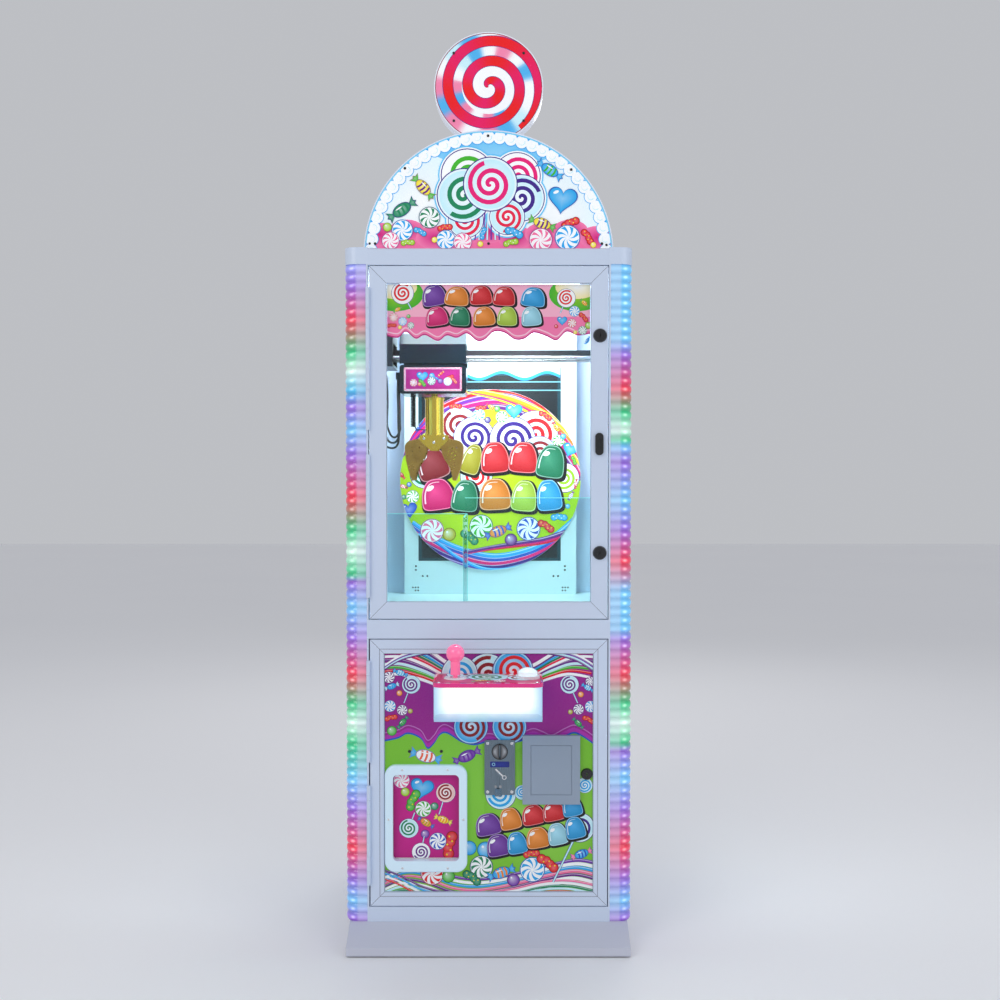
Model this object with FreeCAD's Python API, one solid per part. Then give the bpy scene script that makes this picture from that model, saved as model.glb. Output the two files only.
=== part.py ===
"""Slim claw crane arcade machine: a floor-standing steel cabinet with a glazed upper door, a
lower service door that carries the controls, coin entry and prize door, an X-Y gantry with a
two-jaw claw inside, lit scalloped corner covers and a lit topper.

Millimetres, +Z up. The player stands at -Y. The origin is on the floor, under the middle of the
machine's whole outline."""

import FreeCAD
import Part
import math
import os

V = FreeCAD.Vector

# ---------------------------------------------------------------- driving dimensions
body_width = 600.0        # across the side panels
body_depth = 600.0        # front face of the doors to the rear panel
body_top = 1537.0         # top of the header rail
sheet = 2.0               # cabinet steel
slide_gap = 0.3           # between pieces that pass each other
run_gap = 0.05            # radial clearance of a pin in its bore

floor_gap = 3.0           # plinth's lower edge above the floor
plinth_top = 52.0
plinth_lip = 21.0         # upright front edge of the sloped plinth
plinth_reach = 76.0       # how far the plinth stands out in front
plinth_side = 7.5         # how far the plinth stands out on each side
plinth_width = body_width + 2 * plinth_side
plinth_tail = 6.0         # how far the plinth stands out behind
plinth_sheet = 3.0

door_open_half = 264.5    # half the width of the door openings
door_gap = 2.0
mid_rail_low, mid_rail_high = 681.0, 723.0
bottom_rail_high = 85.0
header_low = 1502.0
rail_depth = 40.0
jamb = 4.0                # flange beside each door
post_front = 30.0         # corner post, behind the door face
post_depth = 22.0

column_stand = 17.0       # how far the lit corner covers stand out from the side panels
column_out = body_width / 2 + column_stand
column_corner = 27.0
column_wall = 2.5
scallop_pitch = 18.8
scallop_bulge = 3.0
cap_low, cap_high = 1504.0, 1541.0

upper_rail = 38.0         # upper door frame, face width
upper_depth = 22.0
lower_rail = 31.5
lower_depth = 20.0
glass = 4.0
hinge_radius = 4.5
hinge_clear = 0.2         # between the knuckles and the door face
hinge_offset = hinge_radius + hinge_clear  # hinge axis in front of the door face
hinge_pin = 1.5
hinge_leaf = 1.1

control_reach = 132.0     # control deck, in front of the door face
control_half = 115.5
deck_top = 604.0
deck_thick = 9.0
housing_low = 516.0

gantry_top = 1300.0       # running surface of the side rails
bridge_home = 185.0       # middle of the bridge behind the door face, parked
carriage_x = -128.0       # middle of the carriage, parked
carriage_width = 152.0
carriage_depth = 150.0
floor_z = 726.0           # top of the prize deck
chute_wall_x = -57.0      # inner face of the chute's right wall
chute_back = 262.0        # chute's rear wall behind the door face
back_wall_y = 545.0       # inner back wall behind the door face

arch_radius = 276.0
disc_radius = 122.0
disc_z = 1908.0

front = (control_reach - body_depth - plinth_tail) / 2
rear = front + body_depth
half = body_width / 2


# ---------------------------------------------------------------- shared shape helpers
def block(x0, x1, y0, y1, z0, z1):
    """A box between two corners."""
    return Part.makeBox(x1 - x0, y1 - y0, z1 - z0, V(x0, y0, z0))


def rod(r, start, end):
    """A round bar between two points."""
    a, b = V(*start), V(*end)
    return Part.makeCylinder(r, (b - a).Length, a, b - a)


def tube(r_out, r_in, start, end):
    return rod(r_out, start, end).cut(rod(r_in, start, end))


def prism_x(points, x0, x1):
    """A side profile, given as (y, z), extruded along X."""
    face = Part.Face(Part.makePolygon([V(x0, y, z) for y, z in points + points[:1]]))
    return face.extrude(V(x1 - x0, 0, 0))


def prism_y(points, y0, y1):
    """A front profile, given as (x, z), extruded along Y."""
    face = Part.Face(Part.makePolygon([V(x, y0, z) for x, z in points + points[:1]]))
    return face.extrude(V(0, y1 - y0, 0))


def rounded_y(x0, x1, z0, z1, y0, y1, r):
    """A plate facing the player, with rounded corners."""
    plate = block(x0, x1, y0, y1, z0, z1)
    return plate.makeFillet(r, [e for e in plate.Edges if along(e, V(0, 1, 0))])


def along(edge, direction):
    """Is this straight edge parallel to direction?"""
    if len(edge.Vertexes) < 2:
        return False
    d = edge.Vertexes[1].Point - edge.Vertexes[0].Point
    return d.Length > 1e-6 and d.cross(direction).Length < 1e-6 * d.Length


def ring_y(x0, x1, z0, z1, width, y0, y1):
    """A rectangular frame facing the player."""
    inner = block(x0 + width, x1 - width, y0, y1, z0 + width, z1 - width)
    return block(x0, x1, y0, y1, z0, z1).cut(inner)


def mirrored(shape, x=0.0):
    return shape.mirror(V(x, 0, 0), V(1, 0, 0))


def fuse(first, *others):
    return first.fuse(list(others)).removeSplitter()


def save(name, *shapes):
    """Writes one node. Several shapes stay separate solids."""
    solids = [s for shape in shapes for s in shape.Solids]
    whole = solids[0] if len(solids) == 1 else Part.makeCompound(solids)
    whole.exportStep("parts/" + name + ".step")


# ---------------------------------------------------------------- plinth and feet
def base_plinth():
    """Folded steel base, open below, whose top slopes down in front of the cabinet."""
    nose = front - plinth_reach
    tail = rear + plinth_tail
    slope = (plinth_top - plinth_lip) / plinth_reach
    drop = plinth_sheet * math.sqrt(1 + slope * slope)
    inner_nose = nose + plinth_sheet
    inner_lip = plinth_lip + slope * plinth_sheet - drop
    inner_top = plinth_top - plinth_sheet
    knee = nose + (inner_top - plinth_lip + drop) / slope
    outer = [(nose, floor_gap), (nose, plinth_lip), (front, plinth_top), (tail, plinth_top), (tail, floor_gap)]
    inner = [(inner_nose, 0), (inner_nose, inner_lip), (knee, inner_top),
             (tail - plinth_sheet, inner_top), (tail - plinth_sheet, 0)]
    side = plinth_width / 2
    return prism_x(outer, -side, side).cut(prism_x(inner, plinth_sheet - side, side - plinth_sheet))


def levelling_feet():
    """Four screw feet, each with a pad, a stem and a lock nut under the plinth's top."""
    under = plinth_top - plinth_sheet
    feet = []
    for x in (-half + 45, half - 45):
        for y in (front + 40, rear - 45):
            pad = Part.makeCone(22, 14, 8, V(x, y, 0))
            stem = rod(5, (x, y, 6), (x, y, under))
            nut = rod(11, (x, y, under - 9), (x, y, under))
            feet.append(fuse(pad, stem, nut))
    return feet


# ---------------------------------------------------------------- cabinet body
def keeper_half(x, reach):
    """Half the height that a lock cam sweeps where it passes the door opening's edge, and a little more."""
    return math.sqrt(reach ** 2 + cam_half ** 2 - (door_open_half - x) ** 2) + 2


def front_frame():
    """Welded front: header, middle and bottom rails, two corner posts and the door jambs. The
    keeper bars behind the right-hand jamb leave a slot for each lock cam."""
    def rail(z0, z1):
        whole = block(-door_open_half, door_open_half, front, front + rail_depth, z0, z1)
        hollow = block(-door_open_half, door_open_half, front + sheet, front + rail_depth, z0 + sheet, z1 - sheet)
        return whole.cut(hollow)

    def post(z0, z1):
        y0 = front + post_front
        whole = block(door_open_half, half, y0, y0 + post_depth, z0, z1)
        bore = block(door_open_half + sheet, half - sheet, y0 + sheet, y0 + post_depth - sheet, z0, z1)
        return whole.cut(bore)

    def strip(z0, z1, y0=front, y1=front + post_front):
        return block(door_open_half, door_open_half + jamb, y0, y1, z0, z1)

    keeper_y = front + upper_depth + 1
    locks = [(lower_lock_z, keeper_half(lower_lock_x, lower_cam_reach))]
    locks += [(z, keeper_half(upper_lock_x, upper_cam_reach)) for z in sorted(upper_lock_heights)]
    right, z0 = [strip(plinth_top, cap_low, front, keeper_y)], plinth_top
    for z, slot in locks + [(cap_low, 0)]:
        right.append(strip(z0, z - slot, keeper_y))
        z0 = z + slot
    side = post(plinth_top, cap_low)
    rails = [rail(header_low, body_top), rail(mid_rail_low, mid_rail_high), rail(plinth_top, bottom_rail_high)]
    return rails + [side, mirrored(side), mirrored(strip(plinth_top, cap_low))] + right


window_y = (95.0, 520.0)
window_z = (760.0, 1460.0)
window_lap = 12.0


def side_panels():
    """Two steel sides with a window opening in the upper half."""
    y0 = front + post_front + post_depth
    right = block(half - sheet, half, y0, rear - sheet, plinth_top, body_top)
    opening = rounded_x(half - sheet, half, front + window_y[0], front + window_y[1], *window_z, 25)
    right = right.cut(opening)
    return [right, mirrored(right)]


def rounded_x(x0, x1, y0, y1, z0, z1, r):
    plate = block(x0, x1, y0, y1, z0, z1)
    return plate.makeFillet(r, [e for e in plate.Edges if along(e, V(1, 0, 0))])


def side_windows():
    right = block(half - sheet - glass, half - sheet, front + window_y[0] - window_lap,
                  front + window_y[1] + window_lap, window_z[0] - window_lap, window_z[1] + window_lap)
    return [right, mirrored(right)]


inlet_x, inlet_z = 170.0, 150.0
switch_z = inlet_z + 45.0


def rear_panel():
    """Rear skin with two banks of louvre slots and the cut-outs for the mains inlet and switch."""
    panel = block(-half, half, rear - sheet, rear, plinth_top, body_top)
    for bank in (230.0, 1360.0):
        for row in range(7):
            z = bank + row * 16.0
            for x in (-150.0, 0.0):
                panel = panel.cut(block(x, x + 110, rear - sheet, rear, z, z + 5))
    panel = panel.cut(block(inlet_x - 14, inlet_x + 14, rear - sheet, rear, inlet_z - 10, inlet_z + 10))
    return panel.cut(block(inlet_x - 11, inlet_x + 11, rear - sheet, rear, switch_z - 7.5, switch_z + 7.5))


def power_inlet():
    """Flush mains inlet, of a back, four walls and three pins, and the switch frame, behind the rear panel."""
    x, z, y0, y1 = inlet_x, inlet_z, rear - sheet - 20, rear - sheet
    body = [block(x - 24, x + 24, y0 - 6, y0, z - 15, z + 15)]
    body += [block(x - 24, x + 24, y0, y1, low, low + 7) for low in (z - 15, z + 8)]
    body += [block(low, low + 12, y0, y1, z - 8, z + 8) for low in (x - 24, x + 12)]
    body += [block(x + pin - 1, x + pin + 1, y0, y1 - 4, z - 2, z + 2) for pin in (-7, 0, 7)]
    seat = block(inlet_x - 15, inlet_x + 15, rear - sheet - 22, rear - sheet, switch_z - 12, switch_z + 12)
    seat = seat.cut(block(inlet_x - 10.5, inlet_x + 10.5, rear - sheet - 18, rear - sheet, switch_z - 7, switch_z + 7))
    axle = rod(2, (inlet_x - 10.5, switch_axle_y, switch_z), (inlet_x + 10.5, switch_axle_y, switch_z))
    return body + [seat.fuse(axle).removeSplitter()]


switch_axle_y = rear - sheet - 6.0


def power_switch():
    """Rocker that turns on the axle in its seat."""
    y, z = switch_axle_y, switch_z
    profile = [(y - 5, z - 4), (y - 5, z + 4), (y + 2.5, z + 6), (y + 5.5, z + 5.2),
               (y + 4.2, z), (y + 6.5, z - 5.0), (y + 3.0, z - 6)]
    rocker = prism_x(profile, inlet_x - 10.5 + slide_gap, inlet_x + 10.5 - slide_gap)
    return rocker.cut(rod(2 + run_gap, (inlet_x - 12, y, z), (inlet_x + 12, y, z)))


def top_panel():
    inner = half - sheet
    back = block(-inner, inner, front + post_front + post_depth, rear - sheet, body_top - sheet, body_top)
    neck = block(-door_open_half, door_open_half, front + rail_depth,
                 front + post_front + post_depth, body_top - sheet, body_top)
    return fuse(back, neck)


def column_caps():
    """Rounded blocks that close the tops of the corner covers."""
    depth = post_front + post_depth
    cap = block(door_open_half, column_out, front, front + depth, cap_low, cap_high)
    corner = [e for e in cap.Edges if along(e, V(0, 0, 1))
              and abs(e.Vertexes[0].X - column_out) < 1e-6 and abs(e.Vertexes[0].Y - front) < 1e-6]
    cap = cap.makeFillet(column_corner, corner)
    cap = cap.cut(block(door_open_half, half, front + rail_depth + 12.1, front + depth + 1, cap_low, cap_high))
    return [cap, mirrored(cap)]


# ---------------------------------------------------------------- lit corner covers
def led_covers():
    """Clear channels round the front corners: a thin wall with a stack of half-round ribs. Each is
    welded up from strips: inner wall, front, two halves of the bend, outer side and rear return."""
    x_in = door_open_half + jamb
    x_arc = column_out - column_corner
    y_arc = front + column_corner
    y_end = front + post_front + post_depth
    skin = column_out - scallop_bulge

    def channel(inset):
        """The channel's plan outline, taken in by inset, as a prism."""
        r = column_corner - scallop_bulge - inset
        xo, yo = skin - inset, front + scallop_bulge + inset
        middle = r * math.sqrt(0.5)
        edges = [
            Part.LineSegment(V(x_in + inset, y_end, 0), V(x_in + inset, yo, 0)),
            Part.LineSegment(V(x_in + inset, yo, 0), V(x_arc, yo, 0)),
            Part.Arc(V(x_arc, yo, 0), V(x_arc + middle, y_arc - middle, 0), V(xo, y_arc, 0)),
            Part.LineSegment(V(xo, y_arc, 0), V(xo, y_end - inset, 0)),
            Part.LineSegment(V(xo, y_end - inset, 0), V(x_in + inset, y_end - inset, 0)),
        ] if inset == 0 else [
            Part.LineSegment(V(x_in + inset, y_end - inset, 0), V(x_in + inset, yo, 0)),
            Part.LineSegment(V(x_in + inset, yo, 0), V(x_arc, yo, 0)),
            Part.Arc(V(x_arc, yo, 0), V(x_arc + middle, y_arc - middle, 0), V(xo, y_arc, 0)),
            Part.LineSegment(V(xo, y_arc, 0), V(xo, y_end - inset, 0)),
            Part.LineSegment(V(xo, y_end - inset, 0), V(x_in + inset, y_end - inset, 0)),
        ]
        face = Part.Face(Part.Wire([e.toShape() for e in edges]))
        face.translate(V(0, 0, plinth_top))
        return face.extrude(V(0, 0, cap_low - plinth_top))

    wall = channel(0).cut(channel(column_wall))
    wall = wall.cut(block(door_open_half, half, front + post_front, y_end + 1, plinth_top, cap_low))

    count = round((cap_low - plinth_top) / scallop_pitch)
    pitch = (cap_low - plinth_top) / count

    def ribs(point):
        """The ribs' upright section. point(out, z) places it, out being the distance from the skin."""
        edges = []
        for i in range(count):
            z = plinth_top + i * pitch
            edges.append(Part.Arc(point(0, z), point(scallop_bulge, z + pitch / 2), point(0, z + pitch)).toShape())
        back = [point(0, cap_low), point(-1.0, cap_low), point(-1.0, plinth_top), point(0, plinth_top)]
        edges += [Part.LineSegment(a, b).toShape() for a, b in zip(back, back[1:])]
        return Part.Face(Part.Wire(edges))

    face_y = front + scallop_bulge
    flat = ribs(lambda out, z: V(x_in, face_y - out, z)).extrude(V(x_arc - x_in, 0, 0))
    bend = ribs(lambda out, z: V(x_arc, face_y - out, z)).revolve(V(x_arc, y_arc, 0), V(0, 0, 1), 90)
    side = ribs(lambda out, z: V(skin + out, y_arc, z)).extrude(V(0, y_end - y_arc, 0))
    whole = fuse(wall, flat, bend, side)
    x_inner, y_return, far = x_in + column_wall, y_end - column_wall, 60.0
    corners = [
        [(x_in, y_end), (x_in, y_arc - far), (x_inner, y_arc - far), (x_inner, y_end)],
        [(x_inner, y_end), (x_inner, y_arc - far), (x_arc, y_arc - far), (x_arc, y_end)],
        [(x_arc, y_arc), (x_arc, y_arc - far), (x_arc + far, y_arc - far)],
        [(x_arc, y_arc), (x_arc + far, y_arc - far), (x_arc + far, y_arc)],
        [(x_arc, y_arc), (x_arc + far, y_arc), (x_arc + far, y_return), (x_arc, y_return)],
        [(x_arc, y_return), (x_arc + far, y_return), (x_arc + far, y_end), (x_arc, y_end)],
    ]
    strips = []
    for corner in corners:
        outline = Part.makePolygon([V(x, y, plinth_top) for x, y in corner + corner[:1]])
        part_of = Part.Face(outline).extrude(V(0, 0, cap_low - plinth_top))
        strips.append(whole.common(part_of))
    return strips + [mirrored(s) for s in strips]


def led_strips():
    """Circuit strips on the corner posts, and two light bars under the top panel."""
    y1 = front + post_front
    x0 = door_open_half + jamb + column_wall + 1.5
    strip = block(x0, half - 2, y1 - 2, y1, plinth_top + 4, cap_low - 4)
    for i in range(38):
        z = plinth_top + 24 + i * 37.6
        strip = strip.fuse(rod(4, ((x0 + half - 2) / 2, y1 - 5, z), ((x0 + half - 2) / 2, y1 - 2, z)))
    bar_z = body_top - sheet
    bars = [block(-230, 230, front + y, front + y + 30, bar_z - 14, bar_z) for y in (70, 470)]
    return [strip, mirrored(strip)] + bars


# ---------------------------------------------------------------- play area
chute_left = -292.0


def playfield_deck():
    """Deck of steel plates under the prizes, laid round the chute's opening at the front left."""
    y0, z0, z1, side = front + post_front + post_depth, floor_z - sheet, floor_z, half - sheet
    rail_back = front + rail_depth
    return [
        block(chute_wall_x, side, y0, rear - sheet, z0, z1),
        block(-side, chute_wall_x, front + chute_back, rear - sheet, z0, z1),
        block(-side, chute_left, y0, front + chute_back, z0, z1),
        block(-door_open_half, door_open_half, rail_back, rail_back + 6, z0, z1),
        block(chute_wall_x, door_open_half, rail_back + 6, y0, z0, z1),
    ]


def acrylic_walls():
    """Clear chute walls and the low fence across the front of the prize deck."""
    t = 4.0
    y0 = front + rail_depth + 6
    side = block(chute_wall_x, chute_wall_x + t, y0, front + chute_back + t, floor_z, floor_z + 221)
    back = block(chute_left, chute_wall_x, front + chute_back, front + chute_back + t, floor_z, floor_z + 221)
    fence = block(chute_wall_x + t, door_open_half, y0, y0 + t, floor_z, floor_z + 264)
    return [fuse(side, back), fence]


def chute_duct():
    """Sheet duct from the deck down to the prize door, narrower between the corner posts, with a
    floor that slopes to the player."""
    x0, x1 = chute_left - sheet, chute_wall_x + 5 + sheet
    y0, y1 = front + 32, front + chute_back + sheet
    z0, z1 = 174.0, floor_z - sheet
    step_x, step_y = -door_open_half, front + post_front + post_depth + sheet
    behind_rail = front + rail_depth + 1
    mouth_top = prize_z[1]

    def room(inset):
        wide = block(x0 + inset, x1 - inset, step_y - sheet + inset, y1 - inset, z0, z1)
        narrow = block(step_x + inset, x1 - inset, behind_rail + inset, step_y + inset, z0, z1)
        mouth = block(step_x + inset, x1 - inset, y0 + inset, step_y + inset, z0, mouth_top - inset)
        return wide.fuse([narrow, mouth])

    duct = room(0).cut(room(sheet))
    x0 = step_x
    duct = duct.cut(block(x0 + sheet, x1 - sheet, y0, y0 + sheet, z0, mouth_top - sheet))
    z_back = z0 + 0.25 * (y1 - y0)
    ramp = prism_x([(y0, z0), (y0, z0 + sheet), (y1 - sheet, z_back + sheet), (y1 - sheet, z_back)],
                   x0 + sheet, x1 - sheet)
    return fuse(duct, ramp)


def back_wall():
    """Inner back wall on four stand-offs from the rear panel."""
    wall = block(-226, 226, front + back_wall_y, front + back_wall_y + sheet, floor_z, 1480)
    studs = [rod(6, (x, front + back_wall_y + sheet, z), (x, rear - sheet, z))
             for x in (-205, 205) for z in (floor_z + 40, 1440)]
    return [wall] + studs


def back_art_disc():
    y = front + back_wall_y
    return rod(237, (0, y - 5, 1027), (0, y, 1027))


# ---------------------------------------------------------------- topper
arch_y = 20.0
arch_depth = 42.0
disc_y = arch_y + arch_depth + 2.0
disc_depth = 50.0
case_wall = 2.5
face_thick = 3.0


def half_disc(r, y0, y1, lap=slide_gap):
    """The part of an upright disc that stands above the cabinet, notched by lap round the caps."""
    whole = rod(r, (0, y0, body_top - 12), (0, y1, body_top - 12))
    above = whole.common(block(-r, r, y0, y1, body_top, body_top + r))
    for x0, x1 in ((-half, lap - door_open_half), (door_open_half - lap, half)):
        above = above.cut(block(x0, x1, y0, y1, body_top, cap_high + lap))
    return above


def arch_case():
    y0, y1 = front + arch_y, front + arch_y + arch_depth
    case = half_disc(arch_radius, y0, y1)
    room = half_disc(arch_radius - case_wall, y0, y1 - sheet, case_wall + slide_gap)
    floor = block(-arch_radius, arch_radius, y0 + face_thick, y1 - sheet, body_top, body_top + sheet)
    return fuse(case.cut(room), floor.common(half_disc(arch_radius, y0, y1)))


def disc_case():
    """Round light box behind the arch, and the steel bracket that carries it from the top panel."""
    y0, y1 = front + disc_y, front + disc_y + disc_depth
    case = rod(disc_radius, (0, y0, disc_z), (0, y1, disc_z))
    case = case.cut(rod(disc_radius - case_wall, (0, y0, disc_z), (0, y1 - sheet, disc_z)))
    upright = block(-25, 25, y1, y1 + 4, body_top, disc_z + 60)
    foot = block(-25, 25, y1 + 4, y1 + 44, body_top, body_top + 4)
    return [case, fuse(upright, foot)]


def topper_faces():
    arch = half_disc(arch_radius - case_wall, front + arch_y, front + arch_y + face_thick, case_wall + slide_gap)
    y0 = front + disc_y
    disc = rod(disc_radius - case_wall, (0, y0, disc_z), (0, y0 + face_thick, disc_z))
    return [arch, disc]


# ---------------------------------------------------------------- hinges
hinge_x = -door_open_half - 0.3
upper_hinges = ((772.0, 1087.0), (1140.0, 1453.0))
lower_hinges = ((135.0, 356.0), (408.0, 633.0))
knuckles = 7


def hinge(z0, z1, moving):
    """One half of a piano hinge. The fixed half holds the pin, the moving half has bored knuckles."""
    ax, ay = hinge_x, front - hinge_offset
    step = (z1 - z0) / knuckles
    y_leaf = front + 0.4
    x_leaf = -door_open_half if not moving else -door_open_half + 2.8 - hinge_leaf
    half_hinge = block(x_leaf, x_leaf + hinge_leaf, y_leaf, front + lower_depth - 2, z0, z1)
    for i in range(knuckles):
        if (i % 2 == 1) != moving:
            continue
        low, high = z0 + i * step + slide_gap / 2, z0 + (i + 1) * step - slide_gap / 2
        web = block(x_leaf, x_leaf + hinge_leaf, ay, y_leaf + 0.1, low, high)
        half_hinge = half_hinge.fuse([rod(hinge_radius, (ax, ay, low), (ax, ay, high)), web])
    pin = hinge_pin + (run_gap if moving else 0)
    core = rod(pin, (ax, ay, z0), (ax, ay, z1))
    return (half_hinge.cut(core) if moving else half_hinge.fuse(core)).removeSplitter()


def hinge_leaves():
    return [hinge(z0, z1, False) for z0, z1 in upper_hinges + lower_hinges]


# ---------------------------------------------------------------- doors
door_left = -door_open_half + 2.8
door_right = door_open_half - door_gap
upper_low, upper_high = mid_rail_high + door_gap, header_low - door_gap
lower_low, lower_high = bottom_rail_high + door_gap, mid_rail_low - door_gap
upper_lip, lower_lip = 10.0, 4.0
rebate = 12.0


def door_frame(z0, z1, rail, depth, lip):
    """A pressed frame: a front face with a lip for the glass or panel, hollow from behind."""
    ring = ring_y(door_left, door_right, z0, z1, rail, front, front + depth)
    seat = block(door_left + rail - rebate, door_right - rail + rebate, front + lip, front + depth,
                 z0 + rail - rebate, z1 - rail + rebate)
    groove = ring_y(door_left + sheet, door_right - sheet, z0 + sheet, z1 - sheet,
                    rail - rebate - 2 * sheet, front + sheet, front + depth)
    return ring.cut(seat).cut(groove)


def rim(z0, z1, rail):
    """Inner edges of a door frame: x0, x1, z0, z1 of its opening."""
    return door_left + rail, door_right - rail, z0 + rail, z1 - rail


upper_lock_x = 245.0
upper_lock_heights = (870.5, 1348.0)
lock_barrel = 9.5
cam_half = 6.0            # half the width of a lock cam


def upper_door_frame():
    frame = door_frame(upper_low, upper_high, upper_rail, upper_depth, upper_lip)
    for z in upper_lock_heights:
        frame = frame.cut(rod(lock_barrel, (upper_lock_x, front, z), (upper_lock_x, front + upper_depth, z)))
    return frame


def upper_door_glass():
    x0, x1, z0, z1 = rim(upper_low, upper_high, upper_rail)
    lap = rebate - 3
    y = front + upper_lip
    return block(x0 - lap, x1 + lap, y, y + glass, z0 - lap, z1 + lap)


def lock_body(x, z, y, flange, length):
    """A cam lock's fixed barrel with its round front collar. y is the face that it sits on."""
    collar = Part.makeCone(flange, flange - 2, 5, V(x, y, z), V(0, -1, 0))
    barrel = rod(lock_barrel, (x, y, z), (x, y + length, z))
    return fuse(collar, barrel).cut(rod(lock_plug + run_gap, (x, y - 6, z), (x, y + length, z)))


lock_plug = 6.5


def lock_cam(x, z, y, length, reach):
    """The turning plug with its keyway, and the cam, which hangs down when unlocked."""
    plug = rod(lock_plug, (x, y - 5.5, z), (x, y + length + 3, z))
    plug = plug.cut(block(x - 0.8, x + 0.8, y - 6, y + 6, z - 4, z + 4))
    tongue = block(x - cam_half, x + cam_half, y + length + 0.3, y + length + 3, z - reach, z)
    return fuse(plug, tongue)


upper_lock_length = upper_depth + 1.5
upper_cam_reach = 22.0
lower_lock_x, lower_lock_z = 217.5, 380.0
panel_y = front + lower_lip
lower_lock_length = upper_depth + 1.5 - lower_lip
lower_cam_reach = 49.5


def latch_plate():
    """Black pull plate between the two upper locks, with a finger recess."""
    x, z, y = upper_lock_x - 1.5, 1110.0, front
    plate = rounded_y(x - 9, x + 9, z - 24.5, z + 24.5, y - 5, y, 8.5)
    return plate.cut(block(x - 5, x + 5, y - 5, y - 2, z - 11, z + 11))


# ---------------------------------------------------------------- lower door
prize_x = (-229.0, -47.0)
prize_z = (164.0, 402.0)
prize_open_x = (-211.0, -65.0)
prize_open_z = (190.0, 381.0)
coin_x = (-9.0, 58.5)
coin_z = (334.5, 456.5)
bill_x = (75.0, 202.0)
bill_z = (315.0, 467.5)
plate = sheet
stick_x, stick_y = -71.0, front - 65.0
button_x, button_y = 85.0, front - 65.0


def lower_door_frame():
    return door_frame(lower_low, lower_high, lower_rail, lower_depth, lower_lip)


wiring_x = (-60.0, 60.0)
wiring_z = (housing_low + 20, deck_top - 30)


def lower_door_panel():
    """Printed steel panel with openings for the prize door, coin entry, lock and wiring."""
    x0, x1, z0, z1 = rim(lower_low, lower_high, lower_rail)
    lap = rebate - 3
    panel = block(x0 - lap, x1 + lap, panel_y, panel_y + plate, z0 - lap, z1 + lap)
    panel = panel.cut(rounded_y(*prize_open_x, *prize_open_z, panel_y, panel_y + plate, 10))
    panel = panel.cut(block(coin_x[0] + 8, coin_x[1] - 8, panel_y, panel_y + plate, coin_z[0] + 10, coin_z[1] - 10))
    panel = panel.cut(rod(lock_barrel + run_gap, (lower_lock_x, panel_y, lower_lock_z),
                          (lower_lock_x, panel_y + plate, lower_lock_z)))
    return panel.cut(block(*wiring_x, panel_y, panel_y + plate, *wiring_z))


flap_hinge_z = prize_open_z[1] + 10.0
flap_y = panel_y + plate + 2.5
flap_thick = 4.0


def prize_frame():
    """Clear moulded surround of the prize door, and the two lugs behind the panel for the flap's pin."""
    frame = rounded_y(*prize_x, *prize_z, panel_y - 14, panel_y, 24)
    hole = rounded_y(*prize_open_x, *prize_open_z, panel_y - 14, panel_y, 10)
    edges = [e for e in frame.Edges if all(abs(v.Y - (panel_y - 14)) < 1e-6 for v in e.Vertexes)]
    frame = frame.makeFillet(5, edges).cut(hole)
    back = panel_y + plate
    lugs = []
    for x in (prize_open_x[0] - 10, prize_open_x[1] + 6):
        lug = block(x, x + 4, back, back + 9, flap_hinge_z - 5, flap_hinge_z + 5)
        lugs.append(lug.cut(rod(2 + run_gap, (x, flap_y + 2, flap_hinge_z), (x + 4, flap_y + 2, flap_hinge_z))))
    return [frame] + lugs


def prize_flap():
    """Flap that hangs behind the opening and swings inwards, with its pin moulded along the top."""
    x0, x1 = prize_open_x[0] - 5, prize_open_x[1] + 5
    flap = block(x0, x1, flap_y, flap_y + flap_thick, prize_open_z[0] - 4, flap_hinge_z)
    pin = rod(2, (x0 - 5, flap_y + 2, flap_hinge_z), (x1 + 5, flap_y + 2, flap_hinge_z))
    bead = rod(3.2, (x0, flap_y + 2, flap_hinge_z), (x1, flap_y + 2, flap_hinge_z))
    return fuse(flap, bead, pin)


coin_mid = sum(coin_x) / 2
slot_z = 431.0
lever_pivot = (coin_mid + 10.0, 374.0)


def coin_plate():
    """Cast coin entry plate with its slot, return chute and lever stub, and the mechanism behind it."""
    face_y = panel_y - 5
    face = rounded_y(*coin_x, *coin_z, face_y, panel_y, 4)
    face = face.fuse(rod(18.2, (coin_mid, face_y - 2, slot_z), (coin_mid, face_y, slot_z)))
    face = face.cut(block(coin_mid - 1.7, coin_mid + 1.7, face_y - 2, panel_y, slot_z - 14, slot_z + 14))
    face = face.cut(block(coin_mid - 7, coin_mid - 1, face_y, panel_y - 1, 347, 377))
    cup = prism_x([(face_y, 333.5), (face_y - 9, 333.5), (face_y - 9, 336), (face_y, 348)], coin_mid - 11, coin_mid + 4)
    stub = rod(3, (lever_pivot[0], face_y - 4, lever_pivot[1]), (lever_pivot[0], face_y, lever_pivot[1]))
    screws = [rod(3.5, (x, face_y - 1.2, z), (x, face_y, z))
              for x in (coin_x[0] + 7, coin_x[1] - 7) for z in (coin_z[0] + 7, coin_z[1] - 7)]
    mech = block(coin_x[0] + 9, coin_x[1] - 9, panel_y, panel_y + 66, coin_z[0] + 11, coin_z[1] - 11)
    return [fuse(face, cup, stub, *screws), mech]


def coin_lever():
    """Return lever on the stub of the coin plate."""
    y1 = panel_y - 5 - 0.5
    x, z = lever_pivot
    arm = block(-1.8, 27, y1 - 2.5, y1, -1.8, 1.8)
    arm.rotate(V(0, 0, 0), V(0, 1, 0), -136)
    arm.translate(V(x, 0, z))
    hub = rod(5, (x, y1 - 2.5, z), (x, y1, z))
    return fuse(hub, arm).cut(rod(3 + run_gap, (x, y1 - 4, z), (x, y1 + 1, z)))


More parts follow.
